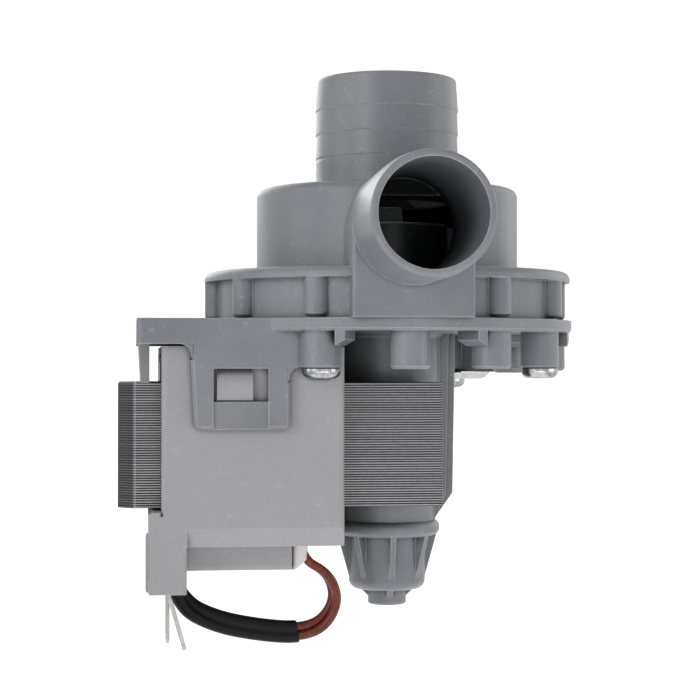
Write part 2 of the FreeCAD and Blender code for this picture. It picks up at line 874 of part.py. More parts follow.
def coil_cover():
    """The light shell over both coils, with its lip, catch, terminal block and wire duct."""
    low, high = joint_z - cover_bottom, joint_z - cover_top
    shell = rounded_box(
        -cover_left, -cover_right, -cover_half_width, cover_half_width, low, high, cover_edge_round
    )
    for side in (-1, 1):
        wedge = prism(
            [
                (-block_right, side * (cover_half_width + 0.1), low - 0.1),
                (-block_right, side * (cover_half_width - lip_depth), low - 0.1),
                (-block_right, side * (cover_half_width + 0.1), low + lip_height),
            ],
            (cover_left, 0, 0),
        )
        shell = shell.cut(wedge)
    inside = box(
        -cover_left - 1, -cover_right + 1,
        -cover_half_width + cover_wall, cover_half_width - cover_wall,
        low + cover_wall, high - cover_wall,
    )
    block = prism(
        [
            (-block_left, -cover_half_width, joint_z - block_bottom),
            (-block_right, -cover_half_width, joint_z - block_bottom),
            (-block_right, -cover_half_width, low + 0.5),
            (-cover_left + 0.01, -cover_half_width, low + 0.5),
            (-cover_left + 0.01, -cover_half_width, joint_z - block_top),
            (-block_left + block_chamfer, -cover_half_width, joint_z - block_top),
            (-block_left, -cover_half_width, joint_z - block_top - block_chamfer),
        ],
        (0, cover_half_width - block_rear, 0),
    )
    front_edges = edges_where(
        block,
        lambda e: upright(e) and e.BoundBox.YMin < -cover_half_width + 1e-6,
    )
    block = block.makeFillet(block_round, front_edges)
    bridge = box(
        -cover_left - block_round, -cover_left + cover_edge_round,
        -cover_half_width, -cover_half_width + cover_wall, low, joint_z - block_top - block_chamfer,
    )
    rail = prism(
        [
            (-block_left - rail_out, rail_margin - cover_half_width, joint_z - rail_bottom, rail_out),
            (1 - block_left, rail_margin - cover_half_width, joint_z - rail_bottom),
            (1 - block_left, rail_margin - cover_half_width, joint_z - rail_top),
            (-block_left - rail_out, rail_margin - cover_half_width, joint_z - rail_top, rail_out),
        ],
        (0, rail_depth, 0),
    )
    duct_end = lead_points[0][0] - tube_half_width() - loose_gap
    duct = prism(
        [
            (-block_right - 1, -duct_front, joint_z - duct_bottom, duct_round),
            (-block_right - 1, -duct_rear, joint_z - duct_bottom, duct_round),
            (-block_right - 1, -duct_rear, low + 0.5),
            (-block_right - 1, -duct_front, low + 0.5),
        ],
        (duct_end + block_right + 1, 0, 0),
    )
    catch = prism(
        [
            (-catch_far, 0.3 - cover_half_width, joint_z - catch_top),
            (-catch_far, -cover_half_width, joint_z - catch_top),
            (-catch_far, -cover_half_width - catch_depth, joint_z - catch_top - catch_depth, catch_round),
            (-catch_far, -cover_half_width - catch_depth, joint_z - catch_bottom, 0.3),
            (-catch_far, 0.3 - cover_half_width, joint_z - catch_bottom),
        ],
        (catch_far - catch_near, 0, 0),
    )
    solid = shell.cut(inside).fuse([block, bridge, rail, duct, catch])

    boss_x, boss_y = around(boss_circle_radius, screw_angles[0])
    relief = cylinder(boss_radius + loose_gap, -head_height - loose_gap, joint_z, boss_x, boss_y)
    slots = []
    for x, y in (
        (straight_terminal_x, straight_terminal_y),
        (bent_terminal_x, bent_terminal_y),
    ):
        slots.append(box(
            x - terminal_thickness / 2 - fit_gap, x + terminal_thickness / 2 + fit_gap,
            y - terminal_width / 2 - fit_gap, y + terminal_width / 2 + fit_gap,
            joint_z - block_bottom - 1, joint_z - block_bottom + terminal_embed + fit_gap,
        ))
    tube_hole = lead_slot(tube_half_width() + fit_gap, lead_offset)
    tube_hole = tube_hole.extrude(Vector(0, 0, cover_wall + 2))
    tube_hole.translate(Vector(lead_points[0][0], lead_y, low - 1))
    pocket_x = lead_points[-1][0]
    pocket_y_room = lead_radius + sleeve_clearance + sleeve_wall + loose_gap
    pocket_x_room = pocket_y_room + lead_offset + pocket_lean
    pocket = box(
        pocket_x - pocket_x_room, pocket_x + pocket_x_room,
        lead_y - pocket_y_room, lead_y + pocket_y_room,
        joint_z - block_bottom - 1, joint_z - block_bottom + pocket_depth,
    )
    save("coil_cover", solid.cut(slots + [relief, tube_hole, pocket]))


def terminal(name, x, y, bend):
    """A tinned blade with a hole near its tip, straight or bent over where it leaves the block."""
    root = joint_z - block_bottom + terminal_embed
    bottom = joint_z - block_bottom
    half = terminal_thickness / 2
    held = box(x - half, x + half, y - terminal_width / 2, y + terminal_width / 2, bottom - 0.6, root)
    tip = bottom - 0.6 - terminal_out
    wide = terminal_width / 2
    c = terminal_tip_chamfer
    blade = prism(
        [
            (x - half, y - wide, bottom - 0.6),
            (x - half, y + wide, bottom - 0.6),
            (x - half, y + wide, tip + c),
            (x - half, y + wide - c, tip),
            (x - half, y - wide + c, tip),
            (x - half, y - wide, tip + c),
        ],
        (terminal_thickness, 0, 0),
    )
    eye = Part.makeCylinder(terminal_hole_radius, 4, Vector(x - 2, y, tip + 2.6), Vector(1, 0, 0))
    blade = blade.cut(eye)
    if bend:
        blade.rotate(Vector(x, y, bottom - 0.6), Vector(0, 1, 0), -bend)
        knuckle = Part.makeCylinder(
            half, terminal_width, Vector(x, y - wide, bottom - 0.6), Vector(0, 1, 0)
        )
        blade = blade.fuse(knuckle)
    save(name, held.fuse(blade))


def thermal_cutout():
    """The cut-out that rests against the inner side of the front winding."""
    face = leg_thickness - core_half_width + bobbin_gap + bobbin_wall + winding_build + loose_gap
    low = (stack_bottom + stack_top - cutout_height) / 2
    solid = box(
        -cutout_left, cutout_length - cutout_left, face, face + cutout_thickness, low, low + cutout_height,
    )
    long_edges = edges_where(solid, lambda e: e.BoundBox.XLength > 1)
    save("thermal_cutout", solid.makeFillet(0.8, long_edges))


# The leads' route in the plane y = lead_y, as x and height under the joint: down the insulating tube,
# round the loop and along the sleeve, up into the terminal block. The pair of wires lies side by side
# in y in the tube and one above the other in the sleeve, and lead_turns says how far it has turned.
loop_points = ((-19.9, 43.4), (-19.9, 47.6), (-14.0, 51.9), (-12.6, 57.4), (-14.9, 62.1))
sleeve_points = ((-19.7, 63.9), (-27.2, 63.4), (-37.0, 61.5), (-44.3, 57.6), (-45.7, 52.4))
lead_points = loop_points + sleeve_points
lead_turns = (0.0, 0.0, 4.0, 22.0, 50.0, 90.0, 90.0, 90.0, 90.0, 90.0)
sleeve_start = 0.8


def centre_route():
    return [Vector(x, lead_y, joint_z - depth) for x, depth in lead_points]


def offset_route(side):
    """The centre route, with each point moved to one wire of the pair."""
    centre = centre_route()
    moved = []
    for number, point in enumerate(centre):
        before = point - centre[number - 1] if number else centre[1] - point
        after = centre[number + 1] - point if number + 1 < len(centre) else before
        half_turn = before.getAngle(after) / 2
        along = before.normalize() + after.normalize()
        outward = Vector(-along.z, 0, along.x).normalize() * (1 / math.cos(half_turn))
        turn = math.radians(lead_turns[number])
        shift = outward * math.sin(turn) + Vector(0, -1, 0) * math.cos(turn)
        moved.append(point + shift * (side * lead_offset))
    return moved


def run_path(name, points):
    """Straight runs joined by tangent arcs, each as large as its two runs allow."""
    edges = []
    start = points[0]
    tightest = None
    for number in range(1, len(points) - 1):
        corner = points[number]
        back = points[number - 1] - corner
        ahead = points[number + 1] - corner
        shorter = min(back.Length, ahead.Length)
        cut = 0.45 * shorter
        angle = math.pi - back.getAngle(ahead)
        radius = cut / math.tan(angle / 2)
        if tightest is None or radius < tightest:
            tightest = radius
        first = corner + back.normalize() * cut
        last = corner + ahead.normalize() * cut
        middle_line = (back + ahead).normalize()
        centre = corner + middle_line * (radius / math.cos(angle / 2))
        middle = centre - middle_line * radius
        edges.append(Part.LineSegment(start, first).toShape())
        edges.append(Part.Arc(first, middle, last).toShape())
        start = last
    edges.append(Part.LineSegment(start, points[-1]).toShape())
    path = Part.Wire(edges)
    print(name, "length", round(path.Length, 2), "tightest bend radius", round(tightest, 2))
    return path


def lead_slot(radius, spacing):
    """A flat slot-shaped face round the pair of wires, in the XY plane, long along Y."""
    low, high = Vector(0, -spacing, 0), Vector(0, spacing, 0)
    side, end = Vector(radius, 0, 0), Vector(0, radius, 0)
    edges = [
        Part.LineSegment(low + side, high + side).toShape(),
        Part.Arc(high + side, high + end, high - side).toShape(),
        Part.LineSegment(high - side, low - side).toShape(),
        Part.Arc(low - side, low - end, low + side).toShape(),
    ]
    return Part.Face(Part.Wire(edges))


def swept(path, face):
    """The face, drawn at the origin facing +Z, carried along a path in a plane of constant y."""
    start = path.Vertexes[0].Point
    along = path.Edges[0].tangentAt(path.Edges[0].FirstParameter)
    turn = math.degrees(math.atan2(along.x, along.z))
    profile = face.copy()
    profile.rotate(Vector(0, 0, 0), Vector(0, 1, 0), turn)
    profile.translate(start)
    return path.makePipeShell([profile.OuterWire], True, False)


def tube_half_width():
    """Half the thickness of the insulating tube across its flat sides."""
    return lead_radius + tube_clearance + tube_wall


def insulating_tube():
    """The white glass-fibre tube that brings the two leads out under the cover."""
    path = Part.Wire(run_path("insulating_tube", centre_route()).Edges[:2])
    outer = swept(path, lead_slot(tube_half_width(), lead_offset))
    inner = swept(path, lead_slot(tube_half_width() - tube_wall, lead_offset))
    save("insulating_tube", outer.cut(inner))


def lead_wires():
    """Two silicone-covered leads, side by side in the tube and one above the other in the sleeve."""
    for name, side in (("lead_wire_a", 1), ("lead_wire_b", -1)):
        points = offset_route(side)
        path = run_path(name, points)
        along = (points[1] - points[0]).normalize()
        circle = Part.Wire(Part.makeCircle(lead_radius, points[0], along))
        wire = path.makePipeShell([circle], True, False)
        print(name, "volume over section times length",
              round(wire.Volume / (math.pi * lead_radius**2 * path.Length), 4))
        save(name, wire)


def lead_sleeve():
    """The black sleeve over the pair, from the loop into the terminal block."""
    centre = centre_route()[len(loop_points):]
    start = centre[0] + (centre[1] - centre[0]).normalize() * sleeve_start
    path = run_path("lead_sleeve", [start] + centre[1:])
    opening = lead_radius + sleeve_clearance
    outer_face = lead_slot(opening + sleeve_wall, lead_offset)
    inner_face = lead_slot(opening, lead_offset)
    for face in (outer_face, inner_face):
        face.rotate(Vector(0, 0, 0), Vector(0, 0, 1), 90)
    save("lead_sleeve", swept(path, outer_face).cut(swept(path, inner_face)))


def rotor():
    """Shaft, ring magnet and the plastic moulded round them, which turn together."""
    magnet_high = joint_z - magnet_top
    magnet_low = magnet_high - magnet_length
    shaft = cylinder(shaft_radius, lower_bearing_low + shaft_short, joint_z + shaft_top)
    ends = edges_where(shaft, lambda e: e.BoundBox.ZLength < 1e-6)
    save("rotor_shaft", shaft.makeChamfer(0.3, ends))

    c = magnet_chamfer
    save("rotor_magnet", lathe([
        (magnet_bore_radius, magnet_low),
        (magnet_radius - c, magnet_low),
        (magnet_radius, magnet_low + c),
        (magnet_radius, magnet_high - c),
        (magnet_radius - c, magnet_high),
        (magnet_bore_radius, magnet_high),
    ]))

    bore = shaft_radius + shaft_fit
    save("rotor_overmould", lathe([
        (bore, magnet_high + overmould_end),
        (overmould_radius - 0.5, magnet_high + overmould_end),
        (overmould_radius, magnet_high + overmould_end - 0.5),
        (overmould_radius, magnet_high + shaft_fit),
        (magnet_bore_radius - shaft_fit, magnet_high + shaft_fit),
        (magnet_bore_radius - shaft_fit, magnet_low - shaft_fit),
        (overmould_radius, magnet_low - shaft_fit),
        (overmould_radius, magnet_low - overmould_end + 0.5),
        (overmould_radius - 0.5, magnet_low - overmould_end),
        (overmould_foot_radius, magnet_low - overmould_end),
        (overmould_foot_radius, overmould_foot_z),
        (bore, overmould_foot_z),
    ]))


def upper_bearing_low():
    """The underside of the upper bearing, over the rotor's plastic and the thrust washer."""
    return joint_z - magnet_top + overmould_end + washer_thickness + 2 * fit_gap


def bearings():
    """A sintered bush in a rubber seat at each end of the rotor, with a thrust washer by each."""
    bore = shaft_radius + running_gap
    upper_low = upper_bearing_low()
    upper_top = upper_low + bearing_length
    save("upper_bearing", ring(bearing_radius, bore, upper_low, upper_top))
    save("lower_bearing", ring(bearing_radius, bore, lower_bearing_low, lower_bearing_top))
    save("upper_bearing_seat", ring(
        seat_radius, bearing_radius + fit_gap, upper_low - seat_overlap, upper_top + seat_overlap,
    ))
    seat_top = lower_bearing_top + seat_overlap
    cup = cylinder(seat_radius, cavity_floor + fit_gap, seat_top)
    pocket = cylinder(bearing_radius + fit_gap, lower_bearing_low - fit_gap, seat_top + 1)
    save("lower_bearing_seat", cup.cut(pocket))

    washer_bore = shaft_radius + running_gap
    save("thrust_washer_upper", ring(
        washer_radius, washer_bore, upper_low - fit_gap - washer_thickness, upper_low - fit_gap,
    ))
    save("thrust_washer_lower", ring(
        washer_radius, washer_bore,
        overmould_foot_z - fit_gap - washer_thickness, overmould_foot_z - fit_gap,
    ))


def bearing_carrier():
    """The plug that closes the rotor can, holds the upper bearing and carries a sealing ring."""
    plug_radius = can_bore_radius - loose_gap
    pocket_radius = seat_radius + fit_gap
    bottom = upper_bearing_low() - seat_overlap
    pocket_top = bottom + bearing_length + 2 * seat_overlap + fit_gap
    groove_high = joint_z - ring_groove_top
    groove_low = groove_high - ring_groove_width
    groove_radius = can_bore_radius - 2 * ring_section_radius - fit_gap
    shaft_hole = shaft_radius + 0.4
    save("bearing_carrier", lathe([
        (pocket_radius, bottom),
        (plug_radius - 0.5, bottom),
        (plug_radius, bottom + 0.5),
        (plug_radius, groove_low),
        (groove_radius, groove_low),
        (groove_radius, groove_high),
        (plug_radius, groove_high),
        (plug_radius, joint_z + fit_gap),
        (carrier_flange_radius, joint_z + fit_gap),
        (carrier_flange_radius, joint_z + carrier_flange - 0.4),
        (carrier_flange_radius - 0.4, joint_z + carrier_flange),
        (shaft_hole, joint_z + carrier_flange),
        (shaft_hole, pocket_top),
        (pocket_radius, pocket_top),
    ]))
    ring_radius = can_bore_radius - ring_section_radius - fit_gap / 2
    save("carrier_ring", soft_ring(ring_radius, ring_section_radius, (groove_low + groove_high) / 2))


def coupling():
    """The driving dog on the shaft, with a rubber pad on each striking face, and the cup's cap."""
    low = joint_z + dog_bottom
    high = low + dog_height
    hub = ring(dog_hub_radius, shaft_radius + shaft_fit, low, high)
    arm = sector(dog_hub_radius - 0.3, dog_radius, dog_half_angle, 180, low + 0.2, high - 0.2)
    save("coupling_dog", hub.fuse(arm))

    middle = dog_half_angle + pad_angle / 2 + 0.2
    pads = [
        sector(pad_inner_radius, dog_radius, pad_angle / 2, 180 + turn, low + 0.4, high - 0.4)
        for turn in (-middle, middle)
    ]
    save("coupling_pads", Part.makeCompound(pads))

    cap_low = joint_z + impeller_bottom
    save("coupling_cap", ring(
        hub_radius - hub_wall - fit_gap, coupling_cap_bore, cap_low, cap_low + coupling_cap_thickness,
    ))


def impeller():
    """Cup hub with its stop lug and shaft boss, base disc, straight vanes and the fin in the inlet eye."""
    low = joint_z + impeller_bottom
    top = joint_z + hub_top
    roof = top - hub_roof
    cup_radius = hub_radius - hub_wall
    hub = lathe([
        (0, low),
        (hub_radius, low),
        (hub_radius, top - 0.4),
        (hub_radius - 0.4, top),
        (0, top),
    ])
    disc = cylinder(disc_radius, low, low + disc_thickness)
    vane = box(
        -vane_thickness / 2, vane_thickness / 2, -vane_radius, -hub_radius + 1,
        low, joint_z + vane_top,
    )
    outer_top = edges_where(
        vane,
        lambda e: e.BoundBox.YMax < -vane_radius + 1e-6 and e.BoundBox.ZMin > joint_z + vane_top - 1e-6,
    )
    vane = vane.makeFillet(vane_round, outer_top)
    vanes = [
        turned(vane, first_vane_angle + number * 360.0 / vane_count)
        for number in range(vane_count)
    ]
    fin = box(-fin_long, fin_short, -fin_thickness / 2, fin_thickness / 2, top - 0.5, joint_z + fin_top)
    fin_tops = edges_where(
        fin,
        lambda e: e.BoundBox.XLength < 1e-6 and e.BoundBox.ZMin > joint_z + fin_top - 1e-6,
    )
    fin = turned(fin.makeFillet(fin_round, fin_tops), fin_angle)
    cup = cylinder(cup_radius, low - 1, roof)
    boss = cylinder(hub_boss_radius, joint_z + hub_boss_bottom, roof + 0.5)
    lug_low = low + coupling_cap_thickness + loose_gap
    lug = sector(lug_inner_radius, cup_radius + 0.5, lug_half_angle, 0, lug_low, roof + 0.5)
    bore = cylinder(shaft_radius + running_gap, low - 1, joint_z + shaft_top + 0.5)
    solid = hub.fuse([disc, fin] + vanes).cut(cup).fuse([boss, lug]).cut(bore)
    save("impeller", solid)


pump_head()
cover_seal()
motor_bracket()
cover_screws()
fixing_strap()
stator_core()
coil("front", -1)
coil("rear", 1)
coil_cover()
terminal("terminal_straight", straight_terminal_x, straight_terminal_y, 0)
terminal("terminal_bent", bent_terminal_x, bent_terminal_y, bent_terminal_angle)
thermal_cutout()
insulating_tube()
lead_wires()
lead_sleeve()
rotor()
bearings()
bearing_carrier()
coupling()
impeller()
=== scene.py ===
import math

import bpy
import numpy as np
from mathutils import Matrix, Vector


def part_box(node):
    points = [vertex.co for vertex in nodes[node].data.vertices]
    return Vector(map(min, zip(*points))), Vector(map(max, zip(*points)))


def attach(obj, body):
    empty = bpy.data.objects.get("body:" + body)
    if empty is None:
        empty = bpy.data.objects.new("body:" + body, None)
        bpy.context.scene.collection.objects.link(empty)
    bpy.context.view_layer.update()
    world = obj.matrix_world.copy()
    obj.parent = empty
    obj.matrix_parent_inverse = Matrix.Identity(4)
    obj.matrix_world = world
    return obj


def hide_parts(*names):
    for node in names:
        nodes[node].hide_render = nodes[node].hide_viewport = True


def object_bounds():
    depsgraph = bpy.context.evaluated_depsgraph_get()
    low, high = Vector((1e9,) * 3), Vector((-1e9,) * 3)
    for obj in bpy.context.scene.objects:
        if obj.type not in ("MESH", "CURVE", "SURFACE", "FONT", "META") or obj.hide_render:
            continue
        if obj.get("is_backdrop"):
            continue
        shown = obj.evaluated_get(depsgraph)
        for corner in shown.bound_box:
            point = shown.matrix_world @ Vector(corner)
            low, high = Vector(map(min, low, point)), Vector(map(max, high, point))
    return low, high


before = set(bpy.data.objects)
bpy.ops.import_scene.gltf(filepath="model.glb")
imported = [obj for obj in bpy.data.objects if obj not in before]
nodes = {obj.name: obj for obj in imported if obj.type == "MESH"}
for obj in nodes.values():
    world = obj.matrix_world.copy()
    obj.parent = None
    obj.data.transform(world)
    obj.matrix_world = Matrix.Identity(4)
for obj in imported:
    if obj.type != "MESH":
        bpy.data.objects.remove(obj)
cad_low, cad_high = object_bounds()


# The camera stands where the photograph was taken from, 400 mm in front of the pump's axis and a little
# to the left of it, level with the joint between pump head and motor bracket.
mm = 0.001
camera_distance = 400 * mm
camera_turn = math.radians(6.6)
camera_shift = 7.85 * mm
camera_height = 1.07 * mm
camera_tilt = math.radians(0.41)
lens_mm = 96.46
sight = Vector((math.sin(camera_turn), math.cos(camera_turn), 0))
across = Vector((math.cos(camera_turn), -math.sin(camera_turn), 0))
aim = (sight * math.cos(camera_tilt) + Vector((0, 0, math.sin(camera_tilt)))).normalized()
camera_data = bpy.data.cameras.new("camera")
camera_data.lens = lens_mm
camera_data.clip_start = 0.01
camera_data.clip_end = 20
camera = bpy.data.objects.new("camera", camera_data)
bpy.context.scene.collection.objects.link(camera)
camera.location = -camera_distance * sight - camera_shift * across + Vector((0, 0, camera_height))
camera.rotation_mode = "QUATERNION"
camera.rotation_quaternion = aim.to_track_quat("-Z", "Y")
bpy.context.scene.camera = camera
bpy.context.scene.view_settings.view_transform = "Standard"


# The two leads are stranded copper under brown silicone rubber, 1.9 mm thick, and leave the cover side
# by side. They make one loop, turn one above the other, and go through a black sleeve into the terminal
# block. The route gives x and depth under the joint, and how far the pair has turned there.
joint_z = 10.0
lead_y = -14.0
lead_radius = 0.95
lead_offset = 0.96
loop_points = ((-19.9, 43.4), (-19.9, 48.6), (-14.0, 51.8), (-12.2, 57.2), (-14.9, 62.1))
sleeve_points = ((-19.7, 63.9), (-27.2, 63.4), (-37.0, 61.5), (-44.3, 57.6), (-45.7, 52.4))
lead_turns = np.radians((0, 0, 4, 22, 50, 90, 90, 88, 50, 12))
wire_a_length = 60.0
wire_b_length = 54.9
centre_route = np.array([(x, lead_y, joint_z - depth) for x, depth in loop_points + sleeve_points])


def lead_route(side):
    """The centre route, moved sideways to one wire: at each corner by the offset along the corner's
    bisector times the sine of the pair's turn, and towards the front times its cosine."""
    runs = np.diff(centre_route, axis=0)
    runs /= np.linalg.norm(runs, axis=1)[:, None]
    along = np.vstack((runs[:1], runs)) + np.vstack((runs, runs[-1:]))
    bisector = np.stack((-along[:, 2], np.zeros(len(along)), along[:, 0]), axis=1)
    bisector *= 2 / (along ** 2).sum(axis=1)[:, None]
    shift = bisector * np.sin(lead_turns)[:, None] + np.outer(np.cos(lead_turns), (0, -1, 0))
    return (centre_route + side * lead_offset * shift) * mm


def linear(colour):
    """An sRGB hex colour as linear red, green, blue and alpha, by the standard two-part curve."""
    parts = [int(colour[place:place + 2], 16) / 255 for place in (1, 3, 5)]
    return [v / 12.92 if v <= 0.04045 else ((v + 0.055) / 1.055) ** 2.4 for v in parts] + [1.0]


def add_node(tree, kind, inputs=None, **settings):
    """Adds one node with its settings, then fills the inputs that are named or numbered. A socket is
    linked, a node is linked by its first output in use, and a hex colour is made linear."""
    made = tree.nodes.new(kind)
    for name, value in settings.items():
        setattr(made, name, value)
    for name, value in (inputs or {}).items():
        if isinstance(value, bpy.types.Node):
            value = next(output for output in value.outputs if output.enabled)
        if isinstance(value, bpy.types.NodeSocket):
            tree.links.new(value, made.inputs[name])
        else:
            made.inputs[name].default_value = linear(value) if isinstance(value, str) else value
    return made


# A Mix node's factor and its two colours have these numbers, because several of its inputs share a name.
mix_share = 0
mix_first = 6
mix_second = 7


def new_material(name):
    """An empty node material and its tree, with only the output left in it."""
    material = bpy.data.materials.new(name)
    material.use_nodes = True
    tree = material.node_tree
    for old in [n for n in tree.nodes if n.type != "OUTPUT_MATERIAL"]:
        tree.nodes.remove(old)
    return material, tree


def close_material(tree, shader):
    """Joins a shader to the material's output."""
    output = next(n for n in tree.nodes if n.type == "OUTPUT_MATERIAL")
    tree.links.new(shader.outputs[0], output.inputs["Surface"])


def extruded_rubber(name, colour, shade, scuff, gloss, shine, rubs):
    """Extruded rubber or soft PVC: it shines softly, and its skin picks up pale dust and rub marks."""
    drift_size, rub_size, ripple_size = 6 * mm, 1.1 * mm, 1.6 * mm
    ripple_depth = 0.05 * mm
    material, tree = new_material(name)
    place = add_node(tree, "ShaderNodeTexCoord").outputs["Object"]
    drift = add_node(tree, "ShaderNodeTexNoise", {"Vector": place, "Scale": 1 / drift_size, "Detail": 3.0})
    deep = add_node(tree, "ShaderNodeMapRange", {"Value": drift, "From Min": 0.35, "From Max": 0.65})
    body = add_node(tree, "ShaderNodeMix", {
        mix_share: deep, mix_first: shade, mix_second: colour,
    }, data_type="RGBA")
    rubbing = add_node(tree, "ShaderNodeTexNoise", {
        "Vector": place, "Scale": 1 / rub_size, "Detail": 4.0, "Roughness": 0.7, "Distortion": 1.0,
    })
    marks = add_node(tree, "ShaderNodeMapRange", {
        "Value": rubbing, "From Min": 0.58, "From Max": 0.72, "To Max": rubs,
    })
    tone = add_node(tree, "ShaderNodeMix", {
        mix_share: marks, mix_first: body, mix_second: scuff,
    }, data_type="RGBA")
    ripple = add_node(tree, "ShaderNodeTexNoise", {"Vector": place, "Scale": 1 / ripple_size})
    skin = add_node(tree, "ShaderNodeBump", {"Height": ripple, "Strength": 0.25, "Distance": ripple_depth})
    dull = add_node(tree, "ShaderNodeMapRange", {
        "Value": marks, "From Max": 0.5, "To Min": gloss, "To Max": gloss + 0.25,
    })
    shader = add_node(tree, "ShaderNodeBsdfPrincipled", {
        "Base Color": tone, "Roughness": dull, "IOR": 1.43, "Specular IOR Level": shine, "Normal": skin,
    })
    close_material(tree, shader)
    return material


brown_silicone = extruded_rubber(
    "silicone rubber, extruded, brown", colour="#82301b", shade="#521c13", scuff="#bd9482",
    gloss=0.26, shine=0.42, rubs=0.32,
)


def lead_wire(name, side):
    """A round wire on the smooth spline through its route's control points."""
    curve = bpy.data.curves.new(name, "CURVE")
    curve.dimensions = "3D"
    curve.bevel_depth = lead_radius * mm
    curve.bevel_resolution = 6
    curve.resolution_u = 14
    curve.use_fill_caps = True
    route = lead_route(side)
    spline = curve.splines.new("NURBS")
    spline.points.add(len(route) - 1)
    spline.points.foreach_set("co", np.column_stack((route, np.ones(len(route)))).ravel())
    spline.order_u = 3
    spline.use_endpoint_u = True
    spline.use_smooth = True
    curve.materials.append(brown_silicone)
    wire = bpy.data.objects.new(name, curve)
    bpy.context.scene.collection.objects.link(wire)
    return wire


def spline_line(wire):
    """The points of a wire's own spline, read from the curve with its bevel off."""
    depth = wire.data.bevel_depth
    wire.data.bevel_depth = 0
    line = bpy.data.meshes.new_from_object(wire)
    wire.data.bevel_depth = depth
    points = np.empty(len(line.vertices) * 3)
    line.vertices.foreach_get("co", points)
    bpy.data.meshes.remove(line)
    return points.reshape(-1, 3)


wire_a = lead_wire("lead_wire_a_round", 1)
wire_b = lead_wire("lead_wire_b_round", -1)
line_a = spline_line(wire_a)
line_b = spline_line(wire_b)


# The sleeve is soft black PVC tube pushed over the pair, so its section is two rounds with nearly
# straight sides between them, drawn in to a groove where the wires meet.
sleeve_clearance = 0.12
sleeve_wall = 0.30
sleeve_right = -20.3
sleeve_roof = -44.0
sleeve_waist = 0.32
section_steps = 80
side_flatness = 2.4
groove_width = 0.14
lip_round = 0.3


def grid_piece(name, rows, material):
    """A mesh from a grid of points in metres that closes both round its columns and round its rows. The
    UV map counts columns as u and rows as v, each from 0 to 1."""
    count, around, _ = rows.shape
    i, j = np.meshgrid(np.arange(count), np.arange(around), indexing="ij")
    corners = ((i, j), (i, j + 1), (i + 1, j + 1), (i + 1, j))
    faces = np.stack([(a % count) * around + b % around for a, b in corners], axis=-1).reshape(-1, 4)
    places = np.stack([np.stack((b / around, a / count), axis=-1) for a, b in corners], axis=2)
    mesh = bpy.data.meshes.new(name)
    mesh.from_pydata(rows.reshape(-1, 3).tolist(), [], faces.tolist())
    mesh.uv_layers.new(name="length").data.foreach_set("uv", places.reshape(-1, 2).ravel())
    mesh.materials.append(material)
    mesh.polygons.foreach_set("use_smooth", np.full(len(mesh.polygons), True))
    piece = bpy.data.objects.new(name, mesh)
    bpy.context.scene.collection.objects.link(piece)
    return piece


def pair_section(first, second, radius, waist):
    """Rows of section points round a pair of lines. At angle t the point stands radius * cos(t) plus the
    half spacing times a step of cos(t) along the pair, and radius * sin(t) across it, drawn in by the
    waist to a groove where cos(t) is small."""
    middle = (first + second) / 2
    along = np.gradient(middle, axis=0)
    along /= np.linalg.norm(along, axis=1)[:, None]
    wide = first - second
    half = np.linalg.norm(wide, axis=1)[:, None] / 2
    wide = wide / (2 * half)
    thin = np.cross(along, wide)
    t = np.linspace(0, 2 * math.pi, section_steps, endpoint=False)
    step = np.tanh(side_flatness * np.cos(t)) / math.tanh(side_flatness)
    draw = 1 - waist * np.exp(-(np.cos(t) / groove_width) ** 2)
    out = radius[:, None] * np.cos(t) + half * step
    up = radius[:, None] * np.sin(t) * draw
    return middle[:, None] + out[..., None] * wide[:, None] + up[..., None] * thin[:, None]


def tube_rows(first, second, radius, wall, waist):
    """The rows of a tube with a wall and rounded lips: out along the outside and back along the bore."""
    count = len(first)
    outside = np.full(count, radius)
    outside[[0, -1]] -= lip_round * wall
    bore = np.full(count, radius - wall)
    bore[[0, -1]] += lip_round * wall
    outer = pair_section(first, second, outside, waist)
    inner = pair_section(first, second, bore, waist)
    return np.vstack((outer, inner[::-1]))


black_sleeve = extruded_rubber(
    "soft PVC, extruded, black", colour="#08080a", shade="#040405", scuff="#1e1e1f",
    gloss=0.36, shine=0.22, rubs=0.30,
)
left_of_end = line_a[:, 0] + line_b[:, 0] < 2 * sleeve_right * mm
in_sleeve = left_of_end & (line_a[:, 2] < sleeve_roof * mm)
sleeve_radius = (lead_radius + sleeve_clearance + sleeve_wall) * mm
sleeve = grid_piece("lead_sleeve_soft", tube_rows(
    line_a[in_sleeve], line_b[in_sleeve], sleeve_radius, sleeve_wall * mm, sleeve_waist,
), black_sleeve)
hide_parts("lead_sleeve")
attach(sleeve, "housing")


# The insulating tube is white glass fibre, braided and varnished. It hangs straight down from the cover,
# and its lower end is cut on the slant where the pair bends out of it.
tube_wall = 0.45
tube_clearance = 0.2
tube_foot = 51.4
tube_slant = 0.9
tube_steps = 16
threads_along = 32
threads_round = 28


